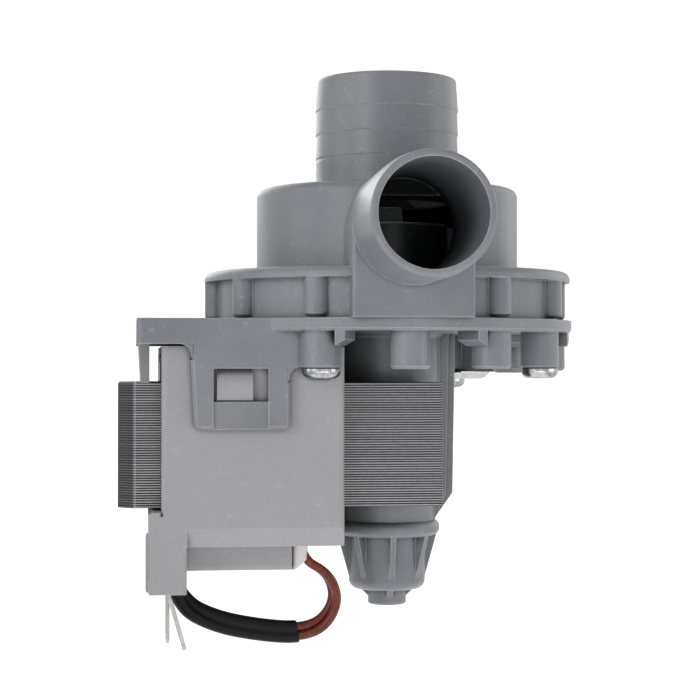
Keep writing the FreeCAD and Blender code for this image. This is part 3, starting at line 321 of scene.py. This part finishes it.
def glass_braid():
    """Two sets of fine threads cross on the slant, and where they cross the higher one shows."""
    thread_depth, glow_depth = 0.04 * mm, 0.6 * mm
    material, tree = new_material("glass fibre, braided, white")
    place = add_node(tree, "ShaderNodeTexCoord").outputs["UV"]
    parts = add_node(tree, "ShaderNodeSeparateXYZ", {"Vector": place})
    waves = []
    for way in (1, -1):
        along = add_node(tree, "ShaderNodeMath", {
            0: parts.outputs["Y"], 1: way * 2 * math.pi * threads_along,
        }, operation="MULTIPLY")
        slant = add_node(tree, "ShaderNodeMath", {
            0: parts.outputs["X"], 1: 2 * math.pi * threads_round, 2: along,
        }, operation="MULTIPLY_ADD")
        waves.append(add_node(tree, "ShaderNodeMath", {0: slant}, operation="SINE"))
    height = add_node(tree, "ShaderNodeMath", {0: waves[0], 1: waves[1]}, operation="MAXIMUM")
    # The lower parts of the weave are painted a little darker, as shade in its valleys.
    tone = add_node(tree, "ShaderNodeMix", {
        mix_share: add_node(tree, "ShaderNodeMapRange", {"Value": height, "From Min": -1.0}),
        mix_first: "#dfded9", mix_second: "#f3f2ef",
    }, data_type="RGBA")
    threads = add_node(tree, "ShaderNodeBump", {
        "Height": height, "Strength": 0.2, "Distance": thread_depth,
    })
    shader = add_node(tree, "ShaderNodeBsdfPrincipled", {
        "Base Color": tone, "Roughness": 0.45, "IOR": 1.5, "Subsurface Weight": 0.3,
        "Subsurface Radius": (glow_depth, glow_depth, glow_depth), "Subsurface Scale": 1.0,
        "Normal": threads,
    })
    close_material(tree, shader)
    return material


tube_x = centre_route[0, 0]
tube_radius = (lead_radius + tube_clearance + tube_wall) * mm
tube_z = np.linspace(centre_route[0, 2], joint_z - tube_foot, tube_steps)
tube_axis = np.stack((np.full(tube_steps, tube_x), np.full(tube_steps, lead_y), tube_z), axis=1) * mm
front = np.array((0, lead_offset * mm, 0))
tube_grid = tube_rows(tube_axis - front, tube_axis + front, tube_radius, tube_wall * mm, waist=0.0)
fall = (tube_grid[..., 2] - tube_axis[0, 2]) / (tube_axis[-1, 2] - tube_axis[0, 2])
tube_grid[..., 2] += (tube_grid[..., 0] - tube_x * mm + tube_radius) * tube_slant * fall ** 3
tube = grid_piece("insulating_tube_braid", tube_grid, glass_braid())
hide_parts("insulating_tube")
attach(tube, "housing")

for wire, node, length in (
    (wire_a, "lead_wire_a", wire_a_length), (wire_b, "lead_wire_b", wire_b_length),
):
    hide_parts(node)
    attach(wire, "housing")
    lead_route(1 if wire == wire_a else -1)[0]


# The studio is seamless paper bent up behind the pump, soft lamps in front, at both sides, above and
# behind, and bright cards on the table, which throw light up at the pump.
floor_gap = 0.5 * mm
floor_width = 4.0
floor_front = -2.0
floor_rear = 1.1
bend_radius = 0.7
wall_height = 2.4
bend_steps = 24
paper_glow = 0.85


def any_ray(tree, *kinds):
    """1 for a ray of any of these kinds, and 0 for the others."""
    path = add_node(tree, "ShaderNodeLightPath")
    share = path.outputs[kinds[0]]
    for kind in kinds[1:]:
        share = add_node(tree, "ShaderNodeMath", {0: share, 1: path.outputs[kind]}, operation="MAXIMUM")
    return share


def studio_paper():
    """Seamless paper: white to the camera and in reflections, pale and matt to everything else."""
    material, tree = new_material("seamless paper, matt")
    paper = add_node(tree, "ShaderNodeBsdfDiffuse", {"Color": "#eeeeee"})
    glow = add_node(tree, "ShaderNodeEmission", {"Color": "#ffffff", "Strength": paper_glow})
    both = add_node(tree, "ShaderNodeAddShader", {0: paper, 1: glow})
    white = add_node(tree, "ShaderNodeEmission", {"Color": "#ffffff", "Strength": 1.0})
    seen = add_node(tree, "ShaderNodeMixShader", {0: any_ray(tree, "Is Camera Ray"), 1: paper, 2: both})
    shown = add_node(tree, "ShaderNodeMixShader", {
        0: any_ray(tree, "Is Glossy Ray", "Is Transmission Ray"), 1: seen, 2: white,
    })
    close_material(tree, shown)
    return material


floor_z = cad_low.z - floor_gap
bend = np.linspace(0, math.pi / 2, bend_steps)
wall_y = floor_rear + bend_radius
profile_y = np.concatenate(([floor_front], floor_rear + bend_radius * np.sin(bend), [wall_y]))
profile_z = np.concatenate(([0], bend_radius * (1 - np.cos(bend)), [wall_height])) + floor_z
count = len(profile_y)
paper_points = np.concatenate([
    np.stack((np.full(count, side * floor_width / 2), profile_y, profile_z), axis=1) for side in (-1, 1)
])
steps = np.arange(count - 1)
paper_faces = np.stack((steps, steps + count, steps + count + 1, steps + 1), axis=1)
paper_mesh = bpy.data.meshes.new("backdrop")
paper_mesh.from_pydata(paper_points.tolist(), [], paper_faces.tolist())
paper_mesh.polygons.foreach_set("use_smooth", np.full(len(paper_mesh.polygons), True))
paper_mesh.materials.append(studio_paper())
backdrop = bpy.data.objects.new("backdrop", paper_mesh)
bpy.context.scene.collection.objects.link(backdrop)
backdrop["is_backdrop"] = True


def lamp(name, place, target, size, watts):
    """A square white area lamp at a place in metres, turned to its target and unseen by the camera."""
    data = bpy.data.lights.new(name, "AREA")
    data.size = size
    data.energy = watts
    made = bpy.data.objects.new(name, data)
    bpy.context.scene.collection.objects.link(made)
    made.location = place
    made.rotation_mode = "QUATERNION"
    made.rotation_quaternion = (Vector(target) - Vector(place)).to_track_quat("-Z", "Y")
    made.visible_camera = False


for name, place, target, size, watts in (
    ("key lamp", (-0.75, -0.95, 0.75), (0, 0, 0), 0.8, 1.7),
    ("low lamp", (-0.85, -0.8, 0.25), (0, 0, 0), 0.55, 2.6),
    ("left lamp", (-1.15, -0.15, 0.3), (0, 0, 0), 0.6, 1.7),
    ("right lamp", (1.15, -0.15, 0.3), (0, 0, 0), 0.6, 1.6),
    ("top lamp", (0, 0, 1.3), (0, 0, 0), 0.8, 1.8),
    ("rear lamp", (1.0, 0.6, 0.32), (0, 0, 0), 0.6, 1.2),
    ("back lamp", (-0.45, 1.15, 0.5), (0, 0, 0), 0.7, 3.2),
    ("table card", (0, -0.33, floor_z + 2 * mm), (0, -0.33, 1), 0.34, 0.72),
    ("small card", (0, -0.06, floor_z + 0.2 * mm), (0, -0.06, 1), 0.14, 0.036),
    ("right card", (0.26, -0.12, floor_z + 1 * mm), (0, 0, 0), 0.16, 0.12),
):
    lamp(name, place, target, size, watts)


# The air round the studio is white to the camera and in reflections, and only a weak light otherwise,
# so that the hollows of the pump stay dark.
air_light = 0.14
world = bpy.data.worlds.new("studio air")
bpy.context.scene.world = world
world.use_nodes = True
sky = next(n for n in world.node_tree.nodes if n.type == "BACKGROUND")
sky.inputs["Color"].default_value = (1, 1, 1, 1)
air = add_node(world.node_tree, "ShaderNodeMapRange", {
    "Value": any_ray(world.node_tree, "Is Camera Ray", "Is Glossy Ray", "Is Transmission Ray"),
    "To Min": air_light,
})
world.node_tree.links.new(air.outputs["Result"], sky.inputs["Strength"])


# The pump head and the motor bracket are injection mouldings of grey glass-filled polypropylene, fine
# grained from the tool, with a faint flow pattern and a dull gloss. Their edges are painted paler,
# partly as rubbing and partly as a painted highlight, and narrow corners, the hollow under the plate
# and the inside of the chamber are painted darker, as shade. The bracket is the paler one. The grain
# is drawn at 0.7 mm, coarser than the real one, so that it shows.
crevice = 1.6 * mm
under_plate = 14 * mm
chamber_radius = 25.8 * mm
chamber_middle = 23.5 * mm
chamber_half = 11.5 * mm
chamber_blur = 0.3 * mm
outlet_axis = 28.2 * mm
outlet_bore = 10.25 * mm
dark_from = -33.0 * mm
dark_to = -24.0 * mm
flow_size = 17 * mm
grain_size = 0.7 * mm
grain_depth = 0.03 * mm
scuff_size = 2.2 * mm
patch_size = 2.5 * mm


def shaded_inside(tree, place):
    """1 in two cans, where the inside is painted dark as shade, and 0 outside them. One stands round the
    axis and takes the walls and ceiling of the pump chamber. The other lies along the outlet's axis and
    takes the inner end of its bore; it has no rear end, so it also takes patches outside, on the drum's
    rear and top edge and on the flange."""
    parts = add_node(tree, "ShaderNodeSeparateXYZ", {"Vector": place})
    rise = add_node(tree, "ShaderNodeMath", {
        0: parts.outputs["Z"], 1: chamber_middle,
    }, operation="SUBTRACT")
    off = add_node(tree, "ShaderNodeMath", {0: rise}, operation="ABSOLUTE")
    in_height = add_node(tree, "ShaderNodeMapRange", {
        "Value": off, "From Min": chamber_half, "From Max": chamber_half + chamber_blur,
        "To Min": 1.0, "To Max": 0.0,
    })
    inwards = add_node(tree, "ShaderNodeMapRange", {
        "Value": parts.outputs["Y"], "From Min": dark_from, "From Max": dark_to,
    })
    shares = []
    for centre, plane, radius, share in (
        ((0, 0, 0), (1, 1, 0), chamber_radius, in_height),
        ((0, 0, outlet_axis), (1, 0, 1), outlet_bore, inwards),
    ):
        moved = add_node(tree, "ShaderNodeVectorMath", {0: place, 1: centre}, operation="SUBTRACT")
        flat = add_node(tree, "ShaderNodeVectorMath", {0: moved, 1: plane}, operation="MULTIPLY")
        out = add_node(tree, "ShaderNodeVectorMath", {0: flat}, operation="LENGTH")
        near = add_node(tree, "ShaderNodeMapRange", {
            "Value": out, "From Min": radius, "From Max": radius + chamber_blur,
            "To Min": 1.0, "To Max": 0.0,
        })
        shares.append(add_node(tree, "ShaderNodeMath", {0: near, 1: share}, operation="MULTIPLY"))
    return add_node(tree, "ShaderNodeMath", {0: shares[0], 1: shares[1]}, operation="MAXIMUM")


def moulded_plastic(name, colour, dark, pale_rub_and_highlight, gloss, edge=0.35 * mm, edge_paling=0.95, inside=False, hollow=None):
    """Moulded plastic: two near greys drift with the flow, and a fine grain breaks the gloss. The colour
    pales where a rounded normal differs from the true one, which is along the edges, partly as rubbing
    and partly as a painted highlight. It darkens with painted shade in narrow corners and, when a size
    is given, in hollows as deep as that. Inside, the walls of the chamber and the inner end of the
    outlet are painted dark, as shade, and made dull."""
    material, tree = new_material(name)
    place = add_node(tree, "ShaderNodeTexCoord").outputs["Object"]
    flow = add_node(tree, "ShaderNodeTexNoise", {
        "Vector": place, "Scale": 1 / flow_size, "Detail": 3.0, "Roughness": 0.55,
    })
    grain = add_node(tree, "ShaderNodeTexNoise", {
        "Vector": place, "Scale": 1 / grain_size, "Roughness": 0.6,
    })
    scuffs = add_node(tree, "ShaderNodeTexNoise", {
        "Vector": place, "Scale": 1 / scuff_size, "Detail": 5.0, "Roughness": 0.8, "Distortion": 0.5,
    })
    rubbed = add_node(tree, "ShaderNodeMapRange", {
        "Value": scuffs, "From Min": 0.58, "From Max": 0.74, "To Max": 0.32,
    })
    rounded = add_node(tree, "ShaderNodeBevel", {"Radius": edge}, samples=6)
    true = add_node(tree, "ShaderNodeNewGeometry").outputs["Normal"]
    match = add_node(tree, "ShaderNodeVectorMath", {0: rounded, 1: true}, operation="DOT_PRODUCT")
    patches = add_node(tree, "ShaderNodeMapRange", {
        "Value": add_node(tree, "ShaderNodeTexNoise", {"Vector": place, "Scale": 1 / patch_size}),
        "From Min": 0.3, "From Max": 0.65, "To Min": 0.55,
    })
    # Edges paled in patches towards the pale colour: partly rubbing, partly a painted highlight.
    turned = add_node(tree, "ShaderNodeMapRange", {
        "Value": match, "From Min": 0.985, "From Max": 0.88, "To Max": edge_paling,
    })
    edge_rub_and_highlight = add_node(tree, "ShaderNodeMath", {0: turned, 1: patches}, operation="MULTIPLY")
    # Painted shade in narrow corners: where little is open within the crevice distance, the colour goes
    # towards a dark grey.
    open_sky = add_node(tree, "ShaderNodeAmbientOcclusion", {"Distance": crevice}, samples=6)
    corners = add_node(tree, "ShaderNodeMapRange", {
        "Value": open_sky.outputs["AO"], "From Min": 0.45, "From Max": 0.8, "To Min": 0.6, "To Max": 0.0,
    })
    body = add_node(tree, "ShaderNodeMix", {
        mix_share: add_node(tree, "ShaderNodeMapRange", {"Value": flow, "From Min": 0.3, "From Max": 0.7}),
        mix_first: dark, mix_second: colour,
    }, data_type="RGBA")
    layers = [(rubbed, pale_rub_and_highlight), (corners, "#3c3d40")]
    dull = add_node(tree, "ShaderNodeMapRange", {
        "Value": flow, "From Min": 0.3, "From Max": 0.7, "To Min": gloss - 0.05, "To Max": gloss + 0.06,
    })
    # Painted shade in deep hollows: where little is open within the hollow size, the colour goes towards a
    # darker grey.
    if hollow:
        depth = add_node(tree, "ShaderNodeAmbientOcclusion", {"Distance": hollow}, samples=6)
        shade = add_node(tree, "ShaderNodeMapRange", {
            "Value": depth.outputs["AO"], "From Min": 0.26, "From Max": 0.5, "To Min": 0.85, "To Max": 0.0,
        })
        layers.append((shade, "#2c2d2f"))
    # Painted shade inside: in the chamber and the outlet's inner end the colour goes to a near black, and
    # the surface is made rougher.
    if inside:
        inside_shade = shaded_inside(tree, place)
        layers.append((inside_shade, "#1e2022"))
        dull = add_node(tree, "ShaderNodeMath", {
            0: dull, 1: add_node(tree, "ShaderNodeMapRange", {"Value": inside_shade, "To Max": 0.85}),
        }, operation="MAXIMUM")
    tone = body
    for share, layer in layers + [(edge_rub_and_highlight, pale_rub_and_highlight)]:
        tone = add_node(tree, "ShaderNodeMix", {
            mix_share: share, mix_first: tone, mix_second: layer,
        }, data_type="RGBA")
    speckle = add_node(tree, "ShaderNodeMapRange", {
        "Value": grain, "From Min": 0.25, "From Max": 0.75, "To Min": 0.95, "To Max": 1.04,
    })
    dusted = add_node(tree, "ShaderNodeVectorMath", {0: tone, "Scale": speckle}, operation="SCALE")
    skin = add_node(tree, "ShaderNodeBump", {
        "Height": grain, "Strength": 0.10, "Distance": grain_depth, "Normal": rounded,
    })
    shader = add_node(tree, "ShaderNodeBsdfPrincipled", {
        "Base Color": dusted, "IOR": 1.49, "Normal": skin, "Roughness": dull,
    })
    close_material(tree, shader)
    return material


def dress(material, *names):
    """Gives CAD nodes, which keep their own meshes, their material."""
    for name in names:
        nodes[name].data.materials.clear()
        nodes[name].data.materials.append(material)


# The head gets painted dark shade inside its chamber and the inner end of its outlet.
dress(moulded_plastic(
    "polypropylene, moulded, mid grey", "#8a8d92", "#7c7e84", "#cfd0d3", gloss=0.35, inside=True,
), "volute_cover")
# The bracket gets painted shade in the deep hollow under its plate.
dress(moulded_plastic(
    "polypropylene, moulded, paler grey", "#8f9297", "#818389", "#d3d4d7", gloss=0.35,
    hollow=under_plate,
), "motor_bracket")


# Beside the clip tab, the moulding's two fillets run out over the tab's bevelled edge. Each run-out is
# a small wedge that fills the bevel and sinks into it a little below the fillet.
tab_front = -28.6
bevel = 0.6
run_out = 1.1
overlap = 0.03
# The wedges' edges don't pale: they get neither the rubbing nor the painted highlight of the other
# mouldings.
plastic_without_paled_edges = moulded_plastic(
    "polypropylene, moulded, unworn", "#8f9297", "#818389", "#d3d4d7", gloss=0.35, edge_paling=0.0,
)


def fillet_run_out(name, edge_x, inward, top_z, fillet):
    """A wedge with a three-cornered section at each height: on the tab's side, at its outer corner, and
    on its front. At the foot the corner moves in to the middle of the bevel."""
    side = (edge_x - inward * overlap, tab_front + bevel)
    corner = (edge_x - inward * overlap, tab_front)
    face = (edge_x + inward * (bevel + overlap), tab_front)
    middle = tuple((a + b) / 2 for a, b in zip(side, face))
    levels = (top_z + overlap, top_z - fillet, top_z - fillet - run_out)
    rows = [
        [(*point, z) for point in (side, outer, face)]
        for z, outer in zip(levels, (corner, corner, middle))
    ]
    mesh = bpy.data.meshes.new(name)
    sides = [(a, b, b + 3, a + 3) for r in (0, 3) for a, b in ((r, r + 1), (r + 1, r + 2), (r + 2, r))]
    points = np.array(rows).reshape(-1, 3) * mm
    mesh.from_pydata(points.tolist(), [], [(2, 1, 0), (6, 7, 8), *sides])
    if inward > 0:
        mesh.flip_normals()
    mesh.materials.append(plastic_without_paled_edges)
    piece = bpy.data.objects.new(name, mesh)
    bpy.context.scene.collection.objects.link(piece)
    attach(piece, "housing")


fillet_run_out("clip_run_out_far", edge_x=-42.6, inward=1, top_z=joint_z - 5.1, fillet=2.0)
fillet_run_out("clip_run_out_near", edge_x=-23.05, inward=-1, top_z=joint_z - 9.6, fillet=2.0)


# The coil cover is moulded polyamide in a lighter grey. Its printed side is bare here, with the same
# grain and gloss as the rest.
dress(moulded_plastic(
    "polyamide, moulded, light grey", "#b0afb3", "#a9a8ac", "#dedee0", gloss=0.38,
), "coil_cover")


# The core is a stack of fifty punched sheets of silicon steel, 0.5 mm each. The punch leaves half of
# every sheet's edge bright and the other half torn and dull, so the stack shows fine stripes.
core_low, core_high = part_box("stator_core")
sheet_count = 50
sheet = (core_high.z - core_low.z) / sheet_count
glint_x = core_low.x + 3.45 * mm
glint_core, glint_edge = 0.06 * mm, 0.2 * mm
smear_size = 0.9 * mm
corner_share = 0.36


def stacked_steel():
    """Stripes follow the height: within each sheet a narrow bright band over a dull one, with each
    sheet's own tone from a number drawn from its place in the stack. On the bevelled corners the
    bright bands are thinned and the colour is painted darker, as shade, and a painted highlight runs
    along the edge of the left bevel, at a set x."""
    material, tree = new_material("silicon steel, punched and stacked")
    coordinates = add_node(tree, "ShaderNodeTexCoord")
    place = coordinates.outputs["Object"]
    parts = add_node(tree, "ShaderNodeSeparateXYZ", {"Vector": place})
    level = add_node(tree, "ShaderNodeMath", {0: parts.outputs["Z"], 1: core_low.z}, operation="SUBTRACT")
    number = add_node(tree, "ShaderNodeMath", {0: level, 1: sheet}, operation="DIVIDE")
    within = add_node(tree, "ShaderNodeMath", {0: number}, operation="FRACT")
    which = add_node(tree, "ShaderNodeMath", {0: number}, operation="FLOOR")
    own = add_node(tree, "ShaderNodeTexWhiteNoise", {"W": which}, noise_dimensions="1D")
    middle = add_node(tree, "ShaderNodeMath", {0: within, 1: 0.5}, operation="SUBTRACT")
    off = add_node(tree, "ShaderNodeMath", {0: middle}, operation="ABSOLUTE")
    band = add_node(tree, "ShaderNodeMapRange", {"Value": off, "From Min": 0.30, "From Max": 0.10})
    torn = add_node(tree, "ShaderNodeMix", {
        mix_share: own, mix_first: "#3b3b3d", mix_second: "#464648",
    }, data_type="RGBA")
    bright = add_node(tree, "ShaderNodeMix", {
        mix_share: own, mix_first: "#929193", mix_second: "#a9a8a9",
    }, data_type="RGBA")
    smear = add_node(tree, "ShaderNodeTexNoise", {"Vector": place, "Scale": 1 / smear_size, "Detail": 3.0})
    share = add_node(tree, "ShaderNodeMath", {
        0: band, 1: add_node(tree, "ShaderNodeMapRange", {
            "Value": smear, "From Min": 0.3, "From Max": 0.6, "To Min": 0.8,
        }),
    }, operation="MULTIPLY")
    # The bevels, found by their slanted normals, are painted as shade: fewer bright bands and a darker
    # colour.
    facing = add_node(tree, "ShaderNodeSeparateXYZ", {"Vector": coordinates.outputs["Normal"]})
    slant = add_node(tree, "ShaderNodeMath", {
        0: facing.outputs["X"], 1: facing.outputs["Y"],
    }, operation="MULTIPLY")
    corner = add_node(tree, "ShaderNodeMapRange", {
        "Value": add_node(tree, "ShaderNodeMath", {0: slant}, operation="ABSOLUTE"),
        "From Min": 0.2, "From Max": 0.4, "To Min": 1.0, "To Max": corner_share,
    })
    bare = add_node(tree, "ShaderNodeMath", {0: share, 1: corner}, operation="MULTIPLY")
    # A painted highlight: a thin bright line where the surface crosses a set x, along the left bevel's
    # edge.
    away = add_node(tree, "ShaderNodeMath", {0: parts.outputs["X"], 1: glint_x}, operation="SUBTRACT")
    edge_glint = add_node(tree, "ShaderNodeMapRange", {
        "Value": add_node(tree, "ShaderNodeMath", {0: away}, operation="ABSOLUTE"),
        "From Min": glint_core, "From Max": glint_edge, "To Min": 0.9, "To Max": 0.0,
    })
    shown = add_node(tree, "ShaderNodeMath", {0: bare, 1: edge_glint}, operation="MAXIMUM")
    striped = add_node(tree, "ShaderNodeMix", {
        mix_share: shown, mix_first: torn, mix_second: bright,
    }, data_type="RGBA")
    # Painted shade: the bevels' colour is scaled down to two thirds.
    shade = add_node(tree, "ShaderNodeMapRange", {
        "Value": corner, "From Min": corner_share, "To Min": 0.66,
    })
    tone = add_node(tree, "ShaderNodeVectorMath", {0: striped, "Scale": shade}, operation="SCALE")
    dull = add_node(tree, "ShaderNodeMapRange", {"Value": shown, "To Min": 0.6, "To Max": 0.36})
    shader = add_node(tree, "ShaderNodeBsdfPrincipled", {
        "Base Color": tone, "Metallic": 0.5, "Roughness": dull,
    })
    close_material(tree, shader)
    return material


dress(stacked_steel(), "stator_core")


# Screws and strap are steel with bright zinc plate. The heads come out of the plating barrel with small
# dents, which break their reflections; the strap and the tinned brass tabs are rolled and more even.
haze_size = 1.2 * mm


def plated_steel(name, colour, tarnish, gloss, dent, depth):
    """Bright plate over dented or rolled steel: a slow noise for the dents, a finer one for haze."""
    material, tree = new_material(name)
    place = add_node(tree, "ShaderNodeTexCoord").outputs["Object"]
    haze = add_node(tree, "ShaderNodeTexNoise", {"Vector": place, "Scale": 1 / haze_size})
    dents = add_node(tree, "ShaderNodeTexNoise", {"Vector": place, "Scale": 1 / dent, "Detail": 0.0})
    bumps = add_node(tree, "ShaderNodeBump", {"Height": dents, "Strength": 0.6, "Distance": depth})
    tone = add_node(tree, "ShaderNodeMix", {
        mix_share: add_node(tree, "ShaderNodeMapRange", {"Value": haze, "From Min": 0.3, "From Max": 0.7}),
        mix_first: tarnish, mix_second: colour,
    }, data_type="RGBA")
    dull = add_node(tree, "ShaderNodeMapRange", {
        "Value": haze, "From Min": 0.3, "From Max": 0.7, "To Min": gloss - 0.06, "To Max": gloss + 0.06,
    })
    shader = add_node(tree, "ShaderNodeBsdfPrincipled", {
        "Base Color": tone, "Metallic": 1.0, "Roughness": dull, "Normal": bumps,
    })
    close_material(tree, shader)
    return material


dress(plated_steel(
    "steel, zinc plated, barrelled", "#b4b6b7", "#8b8d8e", gloss=0.15, dent=2.2 * mm, depth=0.10 * mm,
), "cover_screws")
dress(plated_steel(
    "steel strip, zinc plated", "#dcdcda", "#bcbcba", gloss=0.34, dent=6 * mm, depth=0.04 * mm,
), "fixing_strap")
dress(plated_steel(
    "brass tab, tinned", "#b3b3af", "#92928f", gloss=0.36, dent=2.5 * mm, depth=0.04 * mm,
), "terminal_straight", "terminal_bent")


# Each coil is enamelled copper wire wound in layers on a nylon bobbin round a leg of the core. A turn is
# drawn 0.3 mm wide, coarser than the real wire, so that the turns show.
turn_width = 0.3 * mm
turn_steps = 6
turn_depth = 0.06 * mm
coil_thickness = 2.9 * mm
coil_steps = 56
coil_squareness = 6
wire_size = 0.5 * mm
wire_stretch = (1.0, 0.1, 0.1)


def enamelled_copper():
    """Copper under clear brown enamel: each turn has a slightly different tone along the coil."""
    material, tree = new_material("copper wire, enamelled")
    place = add_node(tree, "ShaderNodeTexCoord").outputs["Object"]
    stretched = add_node(tree, "ShaderNodeVectorMath", {0: place, 1: wire_stretch}, operation="MULTIPLY")
    turns = add_node(tree, "ShaderNodeTexNoise", {"Vector": stretched, "Scale": 1 / wire_size})
    tone = add_node(tree, "ShaderNodeMix", {
        mix_share: add_node(tree, "ShaderNodeMapRange", {"Value": turns, "From Min": 0.3, "From Max": 0.7}),
        mix_first: "#7a3a1e", mix_second: "#b4663a",
    }, data_type="RGBA")
    shader = add_node(tree, "ShaderNodeBsdfPrincipled", {
        "Base Color": tone, "Metallic": 0.8, "Roughness": 0.38, "Coat Weight": 0.6, "Coat Roughness": 0.15,
    })
    close_material(tree, shader)
    return material


def wound_coil(name, node, material):
    """A wound body: its section is a rounded rectangle, |y/a|^6 + |z/b|^6 = 1, drawn in and out by a
    round wave, one for each turn, as it goes along x. The bore is the same section, smaller."""
    low, high = (np.array(v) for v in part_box(node))
    middle, half = (low + high) / 2, (high - low) / 2
    turns = int(round((high[0] - low[0]) / turn_width))
    x = np.linspace(low[0], high[0], turns * turn_steps + 1)
    wave = np.abs(np.sin(np.pi * (x - low[0]) / (high[0] - low[0]) * turns))
    t = np.linspace(0, 2 * math.pi, coil_steps, endpoint=False)
    power = coil_squareness
    reach = (np.abs(np.cos(t)) ** power + np.abs(np.sin(t)) ** power) ** (-1 / power)
    section = np.stack((reach * np.cos(t), reach * np.sin(t)), axis=1)

    def shell(places, size):
        spread = section[None] * (half[1:] - np.asarray(size)[:, None])[:, None]
        ends = np.broadcast_to(np.asarray(places)[:, None, None], spread.shape[:2] + (1,))
        return np.concatenate((ends, middle[1:] + spread), axis=2)

    outer = shell(x, (1 - wave) * turn_depth)
    inner = shell(x[[-1, 0]], np.full(2, coil_thickness))
    piece = grid_piece(name, np.vstack((outer, inner)), material)
    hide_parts(node)
    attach(piece, "housing")


copper = enamelled_copper()
wound_coil("coil_front_wound", "coil_winding_front", copper)
wound_coil("coil_rear_wound", "coil_winding_rear", copper)
dress(moulded_plastic(
    "nylon, moulded, natural", "#cfc9b6", "#c3bca7", "#ded9ca", gloss=0.4, edge_paling=0.2,
), "coil_bobbin_front", "coil_bobbin_rear")


# The impeller and its cap are drawn in a darker grey than the head and show only in the outlet and the
# inlet. The carrier, dog and washers are darker still, and the overmould and cut-out are black.
dress(moulded_plastic(
    "polypropylene, moulded, dark grey", "#5f6164", "#545659", "#a9abae", gloss=0.36,
), "impeller", "coupling_cap")
dress(moulded_plastic(
    "acetal, moulded, charcoal", "#3d3e40", "#353638", "#525355", gloss=0.38,
), "bearing_carrier", "coupling_dog", "thrust_washer_upper", "thrust_washer_lower")
dress(moulded_plastic(
    "phenolic, moulded, black", "#232324", "#1c1c1d", "#363637", gloss=0.3,
), "rotor_overmould", "thermal_cutout")


# Seals, bearing seats and coupling pads are moulded nitrile rubber. It is black and matt, pitted by the
# tool, and its wax comes to the skin as a faint bloom. The pits are drawn coarser than the real ones.
bloom_size = 5 * mm
pit_size = 0.25 * mm
pit_depth = 0.03 * mm


def moulded_rubber():
    """Rubber: a dull black with a soft bloom that comes and goes, over a fine pitted skin."""
    material, tree = new_material("nitrile rubber, moulded, black")
    place = add_node(tree, "ShaderNodeTexCoord").outputs["Object"]
    clouds = add_node(tree, "ShaderNodeTexNoise", {"Vector": place, "Scale": 1 / bloom_size, "Detail": 3.0})
    bloom = add_node(tree, "ShaderNodeMapRange", {"Value": clouds, "From Min": 0.35, "From Max": 0.7})
    tone = add_node(tree, "ShaderNodeMix", {
        mix_share: bloom, mix_first: "#161617", mix_second: "#242425",
    }, data_type="RGBA")
    pitting = add_node(tree, "ShaderNodeTexNoise", {"Vector": place, "Scale": 1 / pit_size})
    pits = add_node(tree, "ShaderNodeBump", {"Height": pitting, "Strength": 0.2, "Distance": pit_depth})
    dull = add_node(tree, "ShaderNodeMapRange", {"Value": bloom, "To Min": 0.5, "To Max": 0.7})
    shader = add_node(tree, "ShaderNodeBsdfPrincipled", {
        "Base Color": tone, "Roughness": dull, "IOR": 1.52, "Normal": pits,
    })
    close_material(tree, shader)
    return material


dress(
    moulded_rubber(), "cover_seal", "carrier_ring", "upper_bearing_seat", "lower_bearing_seat",
    "coupling_pads",
)


# The shaft is ground stainless steel, the magnet ground ferrite, and the bushes sintered bronze full of
# oil. Grinding leaves rings round the axis, and sintering leaves pores, both drawn coarser than real.
ring_depth = 0.01 * mm
ring_stretch = (0.05, 0.05, 1.0)
pore_size = 0.2 * mm


def ground_metal(name, colour, dark, metal, gloss, ring_width, pore):
    """Fine rings along the axis from a noise stretched round it, and small dark pores."""
    material, tree = new_material(name)
    place = add_node(tree, "ShaderNodeTexCoord").outputs["Object"]
    flat = add_node(tree, "ShaderNodeVectorMath", {0: place, 1: ring_stretch}, operation="MULTIPLY")
    rings = add_node(tree, "ShaderNodeTexNoise", {"Vector": flat, "Scale": 1 / ring_width})
    specks = add_node(tree, "ShaderNodeTexNoise", {"Vector": place, "Scale": 1 / pore_size})
    pores = add_node(tree, "ShaderNodeMapRange", {
        "Value": specks, "From Min": 0.25, "From Max": 0.42, "To Min": pore, "To Max": 0.0,
    })
    lines = add_node(tree, "ShaderNodeBump", {"Height": rings, "Strength": 0.3, "Distance": ring_depth})
    ringed = add_node(tree, "ShaderNodeMix", {
        mix_share: rings, mix_first: dark, mix_second: colour,
    }, data_type="RGBA")
    tone = add_node(tree, "ShaderNodeMix", {
        mix_share: pores, mix_first: ringed, mix_second: "#1b1a19",
    }, data_type="RGBA")
    dull = add_node(tree, "ShaderNodeMapRange", {
        "Value": rings, "From Min": 0.3, "From Max": 0.7, "To Min": gloss - 0.05, "To Max": gloss + 0.08,
    })
    shader = add_node(tree, "ShaderNodeBsdfPrincipled", {
        "Base Color": tone, "Metallic": metal, "Roughness": dull, "Normal": lines,
    })
    close_material(tree, shader)
    return material


dress(ground_metal(
    "stainless steel, ground", "#d6d6d4", "#b4b4b3",
    metal=1.0, gloss=0.22, ring_width=0.25 * mm, pore=0.0,
), "rotor_shaft")
dress(ground_metal(
    "ferrite, sintered and ground", "#3a3a3b", "#2b2b2c",
    metal=0.3, gloss=0.45, ring_width=0.4 * mm, pore=0.5,
), "rotor_magnet")
dress(ground_metal(
    "bronze, sintered", "#b08450", "#8d6538", metal=0.9, gloss=0.4, ring_width=0.5 * mm, pore=0.7,
), "upper_bearing", "lower_bearing")

low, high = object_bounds()
size = {"cad": [list(cad_low), list(cad_high)], "visual": [list(low), list(high)]}
